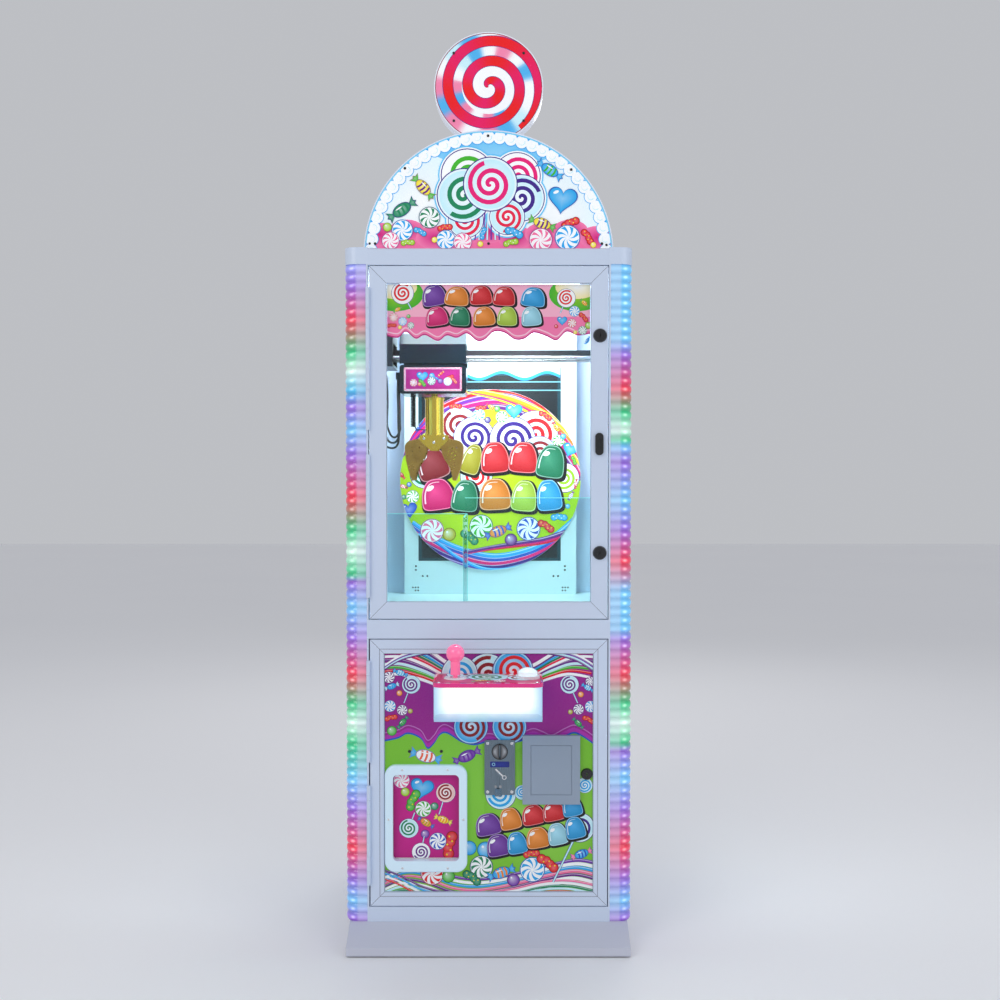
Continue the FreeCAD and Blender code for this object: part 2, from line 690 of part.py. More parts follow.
def bill_cover():
    """Raised steel blank over the note reader's opening, with a grooved inner door."""
    box = block(*bill_x, panel_y - 12, panel_y, *bill_z)
    box = box.cut(block(bill_x[0] + sheet, bill_x[1] - sheet, panel_y - 10, panel_y, bill_z[0] + sheet, bill_z[1] - sheet))
    groove = ring_y(bill_x[0] + 18, bill_x[1] - 18, bill_z[0] + 21, bill_z[1] - 21, 1.4, panel_y - 12, panel_y - 11)
    return box.cut(groove)


# ---------------------------------------------------------------- controls
def control_shell(inset, z_low, z_high, y_back):
    """The control box's outside, or its room when inset: round corners and an undercut nose."""
    y0 = front - control_reach + 2 + inset
    x1 = control_half - inset
    body = block(-x1, x1, y0, y_back, z_low, z_high)
    corners = [e for e in body.Edges if along(e, V(0, 0, 1)) and abs(e.Vertexes[0].Y - y0) < 1e-6]
    body = body.makeFillet(18 - inset, corners)
    nose = prism_x([(y0 - 1, z_low - 1), (y0 + 34, z_low - 1), (y0 - 1, z_low + 24)], -x1 - 1, x1 + 1)
    return body.cut(nose)


def control_housing():
    top = deck_top - deck_thick
    shell = control_shell(0, housing_low, top, panel_y)
    shell = shell.cut(control_shell(4, housing_low + 4, top + 1, panel_y - 4))
    return shell.cut(block(*wiring_x, panel_y - 4, panel_y, *wiring_z))


deck_hole_stick, deck_hole_button = 13.0, 20.5


def control_deck():
    """Printed clear top plate with round corners and holes for the stick and the button."""
    x1 = control_half + 1.5
    y0 = front - control_reach
    plate_top = block(-x1, x1, y0, panel_y, deck_top - deck_thick, deck_top)
    corners = [e for e in plate_top.Edges if along(e, V(0, 0, 1)) and abs(e.Vertexes[0].Y - y0) < 1e-6]
    plate_top = plate_top.makeFillet(19, corners)
    low = deck_top - deck_thick
    plate_top = plate_top.cut(rod(deck_hole_stick, (stick_x, stick_y, low), (stick_x, stick_y, deck_top)))
    return plate_top.cut(rod(deck_hole_button, (button_x, button_y, low), (button_x, button_y, deck_top)))


pivot_z = deck_top - 19.0


def deck_fittings():
    """Joystick collar, joystick yoke under the deck, and the button's bezel with its barrel."""
    x, y, z = stick_x, stick_y, deck_top
    collar = Part.makeCone(25, 23, 3, V(x, y, z)).cut(rod(11.5, (x, y, z), (x, y, z + 3)))
    under = z - deck_thick
    yoke = block(x - 27, x + 27, y - 20, y + 20, under - 2, under).cut(rod(13, (x, y, under - 2), (x, y, under)))
    for side in (-1, 1):
        lug = block(x + side * 23 - 2, x + side * 23 + 2, y - 6, y + 6, pivot_z - 6, under)
        yoke = yoke.fuse(lug)
    yoke = yoke.cut(rod(3 + run_gap, (x - 30, y, pivot_z), (x + 30, y, pivot_z)))
    bx, by = button_x, button_y
    bezel = tube(26, 21.6, (bx, by, z), (bx, by, z + 7))
    seat = tube(26, 17.8, (bx, by, z), (bx, by, z + 1.2))
    barrel = tube(20.2, 17.8, (bx, by, z - 34), (bx, by, z + 1.2))
    return [collar, yoke.removeSplitter(), fuse(bezel, seat, barrel)]


def joystick_gimbal():
    """Ring on two trunnions that lets the stick lean both ways."""
    x, y, z = stick_x, stick_y, pivot_z
    ring = tube(17, 10, (x, y, z - 4.5), (x, y, z + 4.5))
    pins = rod(3, (x - 24, y, z), (x - 16, y, z)).fuse(rod(3, (x + 16, y, z), (x + 24, y, z)))
    return fuse(ring, pins).cut(rod(2.5 + run_gap, (x, y - 20, z), (x, y + 20, z)))


def joystick():
    """Shaft, sleeve and ball, with the cross pin that turns in the gimbal."""
    x, y, z = stick_x, stick_y, pivot_z
    shaft = rod(5, (x, y, z - 13), (x, y, z + 30))
    cross = rod(2.5, (x, y - 16, z), (x, y + 16, z))
    sleeve = rod(10.5, (x, y, z + 27), (x, y, z + 58))
    ball = Part.makeSphere(20, V(x, y, z + 73))
    return fuse(shaft, cross, sleeve, ball)


def button_cap():
    x, y, z = button_x, button_y, deck_top
    skirt = rod(21.3, (x, y, z + 5), (x, y, z + 15))
    dome_r = 30.0
    dip = dome_r - math.sqrt(dome_r ** 2 - 21.3 ** 2)
    dome = Part.makeSphere(dome_r, V(x, y, z + 15 + dip - dome_r)).common(
        rod(21.3, (x, y, z + 15), (x, y, z + 15 + dip)))
    stem = rod(8, (x, y, z - 26), (x, y, z + 7))
    return fuse(skirt, dome, stem)


# ---------------------------------------------------------------- gantry
bridge_y = front + bridge_home
rail_inner, rail_outer = 270.0, 288.0
wheel = 12.0
axle_r = 4.0
axle_spread = 40.0
truck_x = 256.0
truck_thick = 4.0
track_y = 30.0
track_half = 5.0
track_top = gantry_top + 30.0
trolley_wheel = 9.0
trolley_axle = 3.0
trolley_spread = 50.0


def gantry_rails():
    """Side rails from the corner posts to the rear panel."""
    right = block(rail_inner, rail_outer, front + post_front + post_depth, rear - sheet,
                  gantry_top - 18, gantry_top - slide_gap)
    return [right, mirrored(right)]


def bridge_frame():
    """End trucks, the two carriage tracks between them and the drive cover at the left end."""
    axle_z = gantry_top + wheel
    low, high = gantry_top - 4, track_top + 2
    frame = None
    for side in (-1, 1):
        x0 = side * truck_x if side > 0 else -truck_x - truck_thick
        truck = block(x0, x0 + truck_thick, bridge_y - 55, bridge_y + 55, low, high)
        for s in (-1, 1):
            y = bridge_y + s * axle_spread
            truck = truck.cut(rod(axle_r + run_gap, (x0, y, axle_z), (x0 + truck_thick, y, axle_z)))
        frame = truck if frame is None else frame.fuse(truck)
    for s in (-1, 1):
        y = bridge_y + s * track_y
        frame = frame.fuse(block(-truck_x, truck_x, y - track_half, y + track_half,
                                 track_top - 12, track_top - slide_gap))
    cover = block(-truck_x, cover_right, bridge_y - 70, bridge_y + 70, cover_low, cover_low + 76)
    w = cover_wall
    cover = cover.cut(block(w - truck_x, cover_right - w, bridge_y - 70 + w, bridge_y + 70 - w,
                            cover_low + w, cover_low + 76 - w))
    cover = cover.cut(block(-truck_x, cover_right, bridge_y - 50, bridge_y + 50, gantry_top - 4, track_top + 15))
    return [frame.removeSplitter(), cover]


cover_right = -220.0
cover_low = gantry_top - 10.0


def bridge_axle(side):
    """One of the bridge's two axles, with a flanged wheel at each end."""
    y, z = bridge_y + side * axle_spread, gantry_top + wheel
    axle = rod(axle_r, (-rail_outer + 2, y, z), (rail_outer - 2, y, z))
    for s in (-1, 1):
        tread = rod(wheel, (s * (rail_inner + 3), y, z), (s * (rail_outer - 5), y, z))
        flange = rod(wheel + 3, (s * (rail_inner - 3.5), y, z), (s * (rail_inner - 0.5), y, z))
        hub = rod(7, (s * (rail_inner - 1), y, z), (s * (rail_inner + 4), y, z))
        axle = axle.fuse([tread, flange, hub])
    return axle.removeSplitter()


carriage_left = carriage_x - carriage_width / 2
carriage_right = carriage_x + carriage_width / 2
carriage_front = bridge_y - carriage_depth / 2
carriage_back = bridge_y + carriage_depth / 2
hood_low = gantry_top - 4.0
hood_high = gantry_top + 66.0
box_low, box_high = gantry_top - 73.0, gantry_top - 7.0
cover_wall = 2.5
drum_z = box_low + 35.0
neck_half = 18.0


def carriage_frame():
    """Chassis on top of the tracks, the neck plates between them, and the hoist motor."""
    axle_z = track_top + trolley_wheel
    top0, top1 = axle_z + 11, axle_z + 14
    chassis = block(carriage_x - 62, carriage_x + 62, bridge_y - 47, bridge_y + 47, top0, top1)
    for s in (-1, 1):
        y0 = bridge_y + 44 if s > 0 else bridge_y - 47
        chassis = chassis.fuse(block(carriage_x - 62, carriage_x + 62, y0, y0 + 3, axle_z - 6, top0))
        neck0 = bridge_y + neck_half - 2 if s > 0 else bridge_y - neck_half
        chassis = chassis.fuse(block(carriage_x - 24, carriage_x + 24, neck0, neck0 + 2, box_low + cover_wall, top0))
        chassis = chassis.fuse(rod(5, (carriage_x + s * 45, bridge_y, top1), (carriage_x + s * 45, bridge_y, hood_high - cover_wall)))
    for s in (-1, 1):
        x = carriage_x + s * trolley_spread
        chassis = chassis.cut(rod(trolley_axle + run_gap, (x, bridge_y - 50, axle_z), (x, bridge_y + 50, axle_z)))
    chassis = chassis.cut(rod(3 + run_gap, (carriage_x, bridge_y - 20, drum_z), (carriage_x, bridge_y + 20, drum_z)))
    motor = rod(19, (carriage_x, bridge_y + neck_half, drum_z), (carriage_x, bridge_y + neck_half + 36, drum_z))
    motor = motor.cut(rod(4, (carriage_x, bridge_y + neck_half, drum_z), (carriage_x, bridge_y + neck_half + 6, drum_z)))
    return [chassis.removeSplitter(), motor]


def carriage_axle(side):
    """One of the carriage's two axles, with a wheel over each track."""
    x, z = carriage_x + side * trolley_spread, track_top + trolley_wheel
    axle = rod(trolley_axle, (x, bridge_y - 49, z), (x, bridge_y + 49, z))
    for s in (-1, 1):
        y = bridge_y + s * track_y
        axle = axle.fuse(rod(trolley_wheel, (x, y - 4, z), (x, y + 4, z)))
    return axle.removeSplitter()


def hoist_drum():
    """Grooved drum with two cheeks on its shaft."""
    drum = rod(14, (carriage_x, bridge_y - 12, drum_z), (carriage_x, bridge_y + 12, drum_z))
    for y in (-12, 9.5):
        drum = drum.fuse(rod(21, (carriage_x, bridge_y + y, drum_z), (carriage_x, bridge_y + y + 2.5, drum_z)))
    shaft = rod(3, (carriage_x, bridge_y - 19.5, drum_z), (carriage_x, bridge_y + 23, drum_z))
    return fuse(drum, shaft)


def carriage_cover():
    """Black hood over the carriage, with a sloped front and notches for the tracks and axles."""
    y0, y1, z0, z1 = carriage_front, carriage_back, hood_low, hood_high
    w = cover_wall
    outer = [(y0, z0), (y0, z1 - 26), (y0 + 25, z1), (y1, z1), (y1, z0)]
    inner = [(y0 + w, z0 - 1), (y0 + w, z1 - 27), (y0 + 26, z1 - w), (y1 - w, z1 - w), (y1 - w, z0 - 1)]
    hood = prism_x(outer, carriage_left, carriage_right).cut(prism_x(inner, carriage_left + w, carriage_right - w))
    notch = block(carriage_left - 1, carriage_right + 1, bridge_y - 50, bridge_y + 50, z0 - 1, track_top + 15)
    return hood.cut(notch)


gland_x = carriage_left - 5.5
gland_z = (box_high - 31, box_high - 15)
claw_cord_x = carriage_x - 50.0


def label_box():
    """Rounded lower housing with a hole for the hoist line and a gland for the loop of cables."""
    w = cover_wall
    outer = rounded_y(carriage_left, carriage_right, box_low, box_high, carriage_front, carriage_back - 15, 7)
    inner = rounded_y(carriage_left + w, carriage_right - w, box_low + w, box_high + 20,
                      carriage_front + w, carriage_back - 15 - w, 5)
    case = outer.cut(inner).cut(rod(6, (carriage_x, bridge_y, box_low), (carriage_x, bridge_y, box_low + w)))
    gland = block(carriage_left - 11, carriage_left, bridge_y - 44, bridge_y - 20, *gland_z)
    return fuse(case, gland)


# ---------------------------------------------------------------- claw
claw_top = box_low - slide_gap
coil_top, coil_low = box_low - 5.0, box_low - 93.0
bracket_top = coil_low
jaw_pivot_x, jaw_pivot_z = 24.0, bracket_top - 11.0
jaw_half = 28.0
jaw_sheet = 2.2


def claw_head():
    """Solenoid can with its end caps and boss, and the bracket with two cheek plates and jaw pins."""
    x, y = carriage_x, bridge_y
    can = rod(21.7, (x, y, coil_low), (x, y, coil_top))
    for z in (coil_low, coil_top - 4):
        can = can.fuse(rod(23.2, (x, y, z), (x, y, z + 4)))
    can = can.fuse(rod(8, (x, y, coil_top), (x, y, claw_top)))
    reach = jaw_half + 1
    plate_top = block(x - 33, x + 33, y - reach - 2, y + reach + 2, bracket_top - 2.5, bracket_top)
    cheek = [(x - 33, bracket_top), (x + 33, bracket_top), (x + 33, bracket_top - 12), (x + 8, bracket_top - 36),
             (x - 8, bracket_top - 36), (x - 33, bracket_top - 12)]
    bracket = plate_top.fuse([prism_y(cheek, y - reach - 2, y - reach), prism_y(cheek, y + reach, y + reach + 2)])
    for s in (-1, 1):
        bracket = bracket.fuse(rod(2.5, (x + s * jaw_pivot_x, y - reach - 4, jaw_pivot_z),
                                   (x + s * jaw_pivot_x, y + reach + 4, jaw_pivot_z)))
    rivet = rod(2.5, (x, y - reach - 3.5, bracket_top - 28), (x, y + reach + 3.5, bracket_top - 28))
    return [can.removeSplitter(), bracket.fuse(rivet).removeSplitter()]


def jaw(side):
    """One scoop: two perforated cheeks joined by a bent outer skin. side is 1 for the right."""
    px, pz = jaw_pivot_x, jaw_pivot_z

    def outline(dx, dz):
        def p(a, b):
            return V(px + a + dx, 0, pz + b + dz)
        edges = [
            Part.Arc(p(-5, 0), p(-3.2, 3.8), p(1, 5)),
            Part.LineSegment(p(1, 5), p(30, -1)),
            Part.Arc(p(30, -1), p(40, -7), p(44, -18)),
            Part.Arc(p(44, -18), p(39, -56), p(27, -95)),
            Part.LineSegment(p(27, -95), p(19, -94)),
            Part.Arc(p(19, -94), p(15, -72), p(2, -48)),
            Part.Arc(p(2, -48), p(-6, -27), p(-5, 0)),
        ]
        return Part.Face(Part.Wire([e.toShape() for e in edges]))

    whole = outline(0, 0)
    whole.translate(V(0, -jaw_half, 0))
    whole = whole.extrude(V(0, 2 * jaw_half, 0))
    room = outline(-jaw_sheet, -jaw_sheet)
    room.translate(V(0, jaw_sheet - jaw_half, 0))
    room = room.extrude(V(0, 2 * (jaw_half - jaw_sheet), 0))
    gap = block(-40, px + 60, jaw_sheet - jaw_half, jaw_half - jaw_sheet, pz - 110, pz + 20)
    scoop = whole.cut(room)
    inner_edge = outline(0, 0)
    inner_edge.translate(V(-jaw_sheet * 4, jaw_sheet - jaw_half, -jaw_sheet * 0.5))
    scoop = scoop.cut(inner_edge.extrude(V(0, 2 * (jaw_half - jaw_sheet), 0)).common(gap))
    for row in range(4):
        for column in range(3):
            a, b = 10 + 9 * column - 2 * row, -18 - 9 * row - 3 * (column % 2)
            scoop = scoop.cut(rod(1.7, (px + a, -jaw_half - 1, pz + b), (px + a, jaw_half + 1, pz + b)))
    scoop = scoop.cut(rod(2.5 + run_gap, (px, -jaw_half - 1, pz), (px, jaw_half + 1, pz)))
    scoop = scoop if side > 0 else mirrored(scoop)
    scoop.translate(V(carriage_x, bridge_y, 0))
    return scoop.removeSplitter()


# ---------------------------------------------------------------- cables
def cord_tube(points, radius, name):
    """A tube along straight runs joined by tangent arcs, each as large as its runs allow."""
    p = [V(*q) for q in points]
    edges, at, length, radii = [], p[0], 0.0, []
    for i in range(1, len(p) - 1):
        u, w = p[i] - p[i - 1], p[i + 1] - p[i]
        shorter = min(u.Length, w.Length)
        turn = u.getAngle(w)
        u.normalize()
        w.normalize()
        cut_back = 0.45 * shorter
        radii.append(cut_back / math.tan(turn / 2))
        a, b = p[i] - u * cut_back, p[i] + w * cut_back
        toward = w - u
        toward.normalize()
        middle = p[i] + toward * (radii[-1] / math.cos(turn / 2) - radii[-1])
        edges += [Part.LineSegment(at, a).toShape(), Part.Arc(a, middle, b).toShape()]
        at = b
    edges.append(Part.LineSegment(at, p[-1]).toShape())
    path = Part.Wire(edges)
    start = p[1] - p[0]
    section = Part.Wire(Part.Circle(p[0], start, radius).toShape())
    solid = path.makePipeShell([section], True, True)
    print(name, "length", round(path.Length, 1), "smallest radius", round(min(radii), 1),
          "volume share", round(solid.Volume / (math.pi * radius ** 2 * path.Length), 4))
    return solid


loop_x = cover_right - 21.0
loop_low = 1117.0
loop_radius = 2.6


def loop_route(y):
    """A loop of cable from the drive cover's underside down and up into the carriage's gland."""
    return [(loop_x, y, cover_low), (loop_x, y, 1246), (loop_x + 0.4, y, 1202), (loop_x - 0.8, y, 1164),
            (loop_x + 0.2, y, 1134), (loop_x + 9.4, y, loop_low + 1), (loop_x + 24.0, y, loop_low),
            (loop_x + 33.6, y, 1133), (loop_x + 32.4, y, 1162), (gland_x + 0.5, y, 1198),
            (gland_x, y, 1232), (gland_x, y, gland_z[0])]


def loop_cables():
    return [cord_tube(loop_route(bridge_y + y), loop_radius, "loop cable") for y in (-38.0, -27.0)]


claw_cord_radius = 7.0


def claw_cable():
    """Outer shape of the curly cord from the housing down to the claw, and its plain tail into the can."""
    x, y, z = claw_cord_x, bridge_y, box_low
    coil = rod(claw_cord_radius, (x, y, z - 74), (x, y, z))
    lead = rod(1.8, (x + 4, y, z - 80), (x + 4, y, z - 73))
    tail = rod(1.8, (x + 4, y, z - 80), (x + 50 - 21.7, y, z - 80))
    return fuse(coil, lead, tail)


# ---------------------------------------------------------------- service parts inside the base
def cash_box():
    """Open steel cash box with a handle, standing on the plinth."""
    box = block(10, 210, front + 120, front + 400, plinth_top, plinth_top + 120)
    box = box.cut(block(12, 208, front + 122, front + 398, plinth_top + 2, plinth_top + 120))
    handle = tube(24, 18, (110, front + 110, plinth_top + 60), (110, front + 120, plinth_top + 60))
    return fuse(box, handle.cut(block(80, 140, front + 100, front + 120, plinth_top + 60, plinth_top + 90)))


def electronics():
    """Power supply on the plinth and the control board on stand-offs from the rear panel."""
    supply = block(-240, -120, front + 320, front + 520, plinth_top, plinth_top + 62)
    board = block(-60, 160, rear - sheet - 20, rear - sheet - 18, 420, 600)
    posts = [rod(4, (x, rear - sheet - 18, z), (x, rear - sheet, z)) for x in (-50, 150) for z in (430, 590)]
    chips = [block(x, x + 36, rear - sheet - 26, rear - sheet - 20, z, z + 30) for x, z in ((-30, 450), (40, 520), (90, 450))]
    return [supply, fuse(board, *posts, *chips)]


# ---------------------------------------------------------------- build
def build():
    os.makedirs("parts", exist_ok=True)
    save("base_plinth", base_plinth())
    save("levelling_feet", *levelling_feet())
    save("front_frame", *front_frame())
    save("side_panels", *side_panels())
    save("side_windows", *side_windows())
    save("rear_panel", rear_panel())
    save("power_inlet", *power_inlet())
    save("power_switch", power_switch())
    save("top_panel", top_panel())
    save("column_caps", *column_caps())
    save("led_covers", *led_covers())
    save("led_strips", *led_strips())
    save("playfield_deck", *playfield_deck())
    save("acrylic_walls", *acrylic_walls())
    save("chute_duct", chute_duct())
    save("back_wall", *back_wall())
    save("back_art_disc", back_art_disc())
    save("arch_case", arch_case())
    save("disc_case", *disc_case())
    save("topper_faces", *topper_faces())
    save("hinge_leaves", *hinge_leaves())
    save("cash_box", cash_box())
    save("electronics", *electronics())

    save("upper_door_frame", upper_door_frame())
    save("upper_door_glass", upper_door_glass())
    save("upper_door_hinge", *[hinge(z0, z1, True) for z0, z1 in upper_hinges])
    locks = [lock_body(upper_lock_x, z, front, 15.5, upper_lock_length) for z in upper_lock_heights]
    save("upper_door_locks", *locks, latch_plate())
    for name, z in zip(("lock_cam_low", "lock_cam_high"), upper_lock_heights):
        save(name, lock_cam(upper_lock_x, z, front, upper_lock_length, upper_cam_reach))

    save("lower_door_frame", lower_door_frame())
    save("lower_door_panel", lower_door_panel())
    save("lower_door_hinge", *[hinge(z0, z1, True) for z0, z1 in lower_hinges])
    save("lower_door_lock", lock_body(lower_lock_x, lower_lock_z, panel_y, 13.2, lower_lock_length))
    save("lock_cam_lower_door", lock_cam(lower_lock_x, lower_lock_z, panel_y, lower_lock_length, lower_cam_reach))
    save("prize_frame", *prize_frame())
    save("prize_flap", prize_flap())
    save("coin_plate", *coin_plate())
    save("coin_lever", coin_lever())
    save("bill_cover", bill_cover())
    save("control_housing", control_housing())
    save("control_deck", control_deck())
    save("deck_fittings", *deck_fittings())
    save("joystick_gimbal", joystick_gimbal())
    save("joystick", joystick())
    save("button_cap", button_cap())

    save("gantry_rails", *gantry_rails())
    save("bridge_frame", *bridge_frame())
    save("bridge_axle_front", bridge_axle(-1))
    save("bridge_axle_rear", bridge_axle(1))
    save("carriage_frame", *carriage_frame())
    save("carriage_axle_left", carriage_axle(-1))
    save("carriage_axle_right", carriage_axle(1))
    save("hoist_drum", hoist_drum())
    save("carriage_cover", carriage_cover())
    save("label_box", label_box())
    save("claw_head", *claw_head())
    save("jaw_left", jaw(-1))
    save("jaw_right", jaw(1))
    save("loop_cables", *loop_cables())
    save("claw_cord", claw_cable())


build()
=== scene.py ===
import bmesh
import bpy
import math
from mathutils import Matrix, Vector


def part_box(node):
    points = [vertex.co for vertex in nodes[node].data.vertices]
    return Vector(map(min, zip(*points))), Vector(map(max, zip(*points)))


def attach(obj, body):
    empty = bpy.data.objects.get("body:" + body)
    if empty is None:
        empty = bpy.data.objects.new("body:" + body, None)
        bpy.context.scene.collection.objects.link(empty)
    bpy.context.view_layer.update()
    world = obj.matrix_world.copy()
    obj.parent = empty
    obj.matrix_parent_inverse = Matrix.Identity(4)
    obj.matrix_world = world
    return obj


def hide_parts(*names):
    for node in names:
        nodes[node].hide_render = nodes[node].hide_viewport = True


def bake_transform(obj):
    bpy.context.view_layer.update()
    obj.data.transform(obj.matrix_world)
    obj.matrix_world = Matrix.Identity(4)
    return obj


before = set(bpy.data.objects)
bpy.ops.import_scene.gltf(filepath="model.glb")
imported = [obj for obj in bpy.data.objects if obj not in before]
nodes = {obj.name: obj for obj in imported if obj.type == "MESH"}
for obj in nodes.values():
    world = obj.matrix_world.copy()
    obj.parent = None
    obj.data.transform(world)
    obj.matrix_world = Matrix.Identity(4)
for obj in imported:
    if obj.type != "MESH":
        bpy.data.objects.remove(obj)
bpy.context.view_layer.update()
MM = 0.001
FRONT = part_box("front_frame")[0][1]
SHEET_EDGE, MOULDED_EDGE, METAL_EDGE = 0.0009, 0.0005, 0.0004    # radius of the softened edges


# ------------------------------------------------------------------ materials
# Every finish is procedural: object coordinates drive grain, soft edges and small variation.
def rgb(c, k=1.0):
    return (c[0] * k, c[1] * k, c[2] * k, 1.0)


class Shader:
    """A small wrapper that adds nodes to one material and links them."""

    def __init__(self, name):
        self.mat = bpy.data.materials.new(name)
        self.mat.use_nodes = True
        self.tree = self.mat.node_tree
        self.tree.nodes.clear()
        self.out = self.tree.nodes.new("ShaderNodeOutputMaterial")
        self.coord = self.tree.nodes.new("ShaderNodeTexCoord").outputs["Object"]

    def add(self, kind, links=None, **settings):
        node = self.tree.nodes.new("ShaderNode" + kind)
        for key, value in settings.items():
            setattr(node, key, value)
        for key, value in (links or {}).items():
            self.put(node.inputs[key], value)
        return node

    def put(self, socket, value):
        if isinstance(value, bpy.types.NodeSocket):
            self.tree.links.new(value, socket)
        else:
            socket.default_value = value

    def math(self, operation, a, b=0.0):
        return self.add("Math", {0: a, 1: b}, operation=operation).outputs[0]

    def noise(self, scale, detail=3.0, rough=0.55):
        links = {"Vector": self.coord, "Scale": scale, "Detail": detail, "Roughness": rough}
        return self.add("TexNoise", links)

    def spread(self, value, low, high, start=0.3, end=0.7):
        links = {"Value": value, "From Min": start, "From Max": end, "To Min": low, "To Max": high}
        return self.add("MapRange", links).outputs["Result"]

    def mix(self, factor, a, b):
        node = self.add("Mix", data_type="RGBA")
        self.put(node.inputs[0], factor)
        self.put(node.inputs[6], a)
        self.put(node.inputs[7], b)
        return node.outputs[2]

    def gamma(self, colour, power):
        return self.add("Gamma", {"Color": colour, "Gamma": power}).outputs[0]

    def bump(self, height, strength, distance, edge=0.0):
        links = {"Height": height, "Strength": strength, "Distance": distance}
        if edge:
            links["Normal"] = self.add("Bevel", {"Radius": edge}, samples=4).outputs[0]
        return self.add("Bump", links).outputs[0]

    def surface(self, **inputs):
        body = self.add("BsdfPrincipled", {key.replace("_", " "): v for key, v in inputs.items()})
        self.tree.links.new(body.outputs[0], self.out.inputs[0])
        return self.mat


def powder_coat(name, colour, rough=0.42):
    """Baked powder paint: orange peel, faint handling marks and rounded sheet edges."""
    s = Shader(name)
    peel = s.noise(900.0, 2.0)
    cloud = s.noise(5.0, 4.0)
    tint = s.mix(s.spread(cloud.outputs[0], 0.0, 0.35), rgb(colour), rgb(colour, 0.93))
    return s.surface(Base_Color=tint, Roughness=s.spread(cloud.outputs[0], rough - 0.06, rough + 0.08),
                     Normal=s.bump(peel.outputs[0], 0.12, 0.0003, SHEET_EDGE), Coat_Weight=0.15,
                     Coat_Roughness=0.25)


def metal(name, colour, rough, grain):
    """Bare metal with a drawn grain along one direction."""
    s = Shader(name)
    stretch = s.add("Mapping", {"Vector": s.coord, "Scale": grain})
    lines = s.add("TexNoise", {"Vector": stretch.outputs[0], "Scale": 30.0, "Detail": 5.0})
    tint = s.mix(s.spread(lines.outputs[0], 0.0, 0.5), rgb(colour), rgb(colour, 0.8))
    return s.surface(Base_Color=tint, Metallic=1.0,
                     Roughness=s.spread(lines.outputs[0], rough * 0.7, rough * 1.4),
                     Normal=s.bump(lines.outputs[0], 0.06, 0.0002, METAL_EDGE))


def plastic(name, colour, rough, glow=0.0, coat=0.2):
    """Moulded plastic with a fine texture. glow lights it from inside."""
    s = Shader(name)
    fine = s.noise(700.0, 2.0)
    cloud = s.noise(9.0, 3.0)
    tint = s.mix(s.spread(cloud.outputs[0], 0.0, 0.3), rgb(colour), rgb(colour, 0.88))
    inputs = dict(Base_Color=tint, Roughness=s.spread(cloud.outputs[0], rough * 0.85, rough * 1.15),
                  Normal=s.bump(fine.outputs[0], 0.1, 0.0002, MOULDED_EDGE), Coat_Weight=coat,
                  Coat_Roughness=0.08)
    if glow:
        level = s.math("MULTIPLY", s.spread(cloud.outputs[0], 0.85, 1.1), glow)
        inputs.update(Emission_Color=rgb(colour), Emission_Strength=level)
    return s.surface(**inputs)


def clear_sheet(name, tint, shine, edge_tint=(0.25, 0.75, 0.72)):
    """Thin clear sheet: see-through face on, reflective at a glance, deeper colour towards its edges."""
    s = Shader(name)
    fresnel = s.add("Fresnel", {"IOR": 1.5}).outputs[0]
    haze = s.noise(4.0, 3.0)
    glance = s.add("LayerWeight", {"Blend": 0.25}).outputs["Facing"]
    colour = s.mix(s.math("POWER", glance, 3.0), rgb(tint), rgb(edge_tint))
    through = s.add("BsdfTransparent", {"Color": colour})
    gloss = s.add("BsdfGlossy", {"Color": rgb((1, 1, 1)), "Roughness": s.spread(haze.outputs[0], 0.01, 0.05)})
    share = s.math("MULTIPLY", fresnel, shine)
    both = s.add("MixShader", {0: share, 1: through.outputs[0], 2: gloss.outputs[0]})
    s.tree.links.new(both.outputs[0], s.out.inputs[0])
    return s.mat


def printed(name, glow):
    """Ink on a panel. The colours come from the mesh, with a faint screen grain."""
    s = Shader(name)
    ink = s.add("Attribute", attribute_name="ink").outputs["Color"]
    dots = s.noise(1400.0, 1.0)
    cloud = s.noise(12.0, 3.0)
    deep = s.gamma(ink, 1.35)
    tint = s.mix(s.spread(dots.outputs[0], 0.0, 0.03), deep, rgb((1, 1, 1)))
    rough = s.spread(cloud.outputs[0], 0.28, 0.42)
    grain = s.bump(dots.outputs[0], 0.03, 0.0001)
    level = s.math("MULTIPLY", s.spread(cloud.outputs[0], 0.9, 1.1), glow)
    return s.surface(Base_Color=tint, Roughness=rough, Coat_Weight=0.12, Coat_Roughness=0.05, Normal=grain,
                     Specular_IOR_Level=0.25, Emission_Color=deep, Emission_Strength=level)


LILAC, PURPLE, PINKRED = (0.50, 0.55, 0.95), (0.50, 0.30, 0.80), (0.95, 0.12, 0.22)
GREEN, HOT, CYAN, LIGHT = (0.12, 0.72, 0.42), (0.85, 1.0, 0.92), (0.20, 0.65, 0.90), (0.35, 0.72, 0.98)
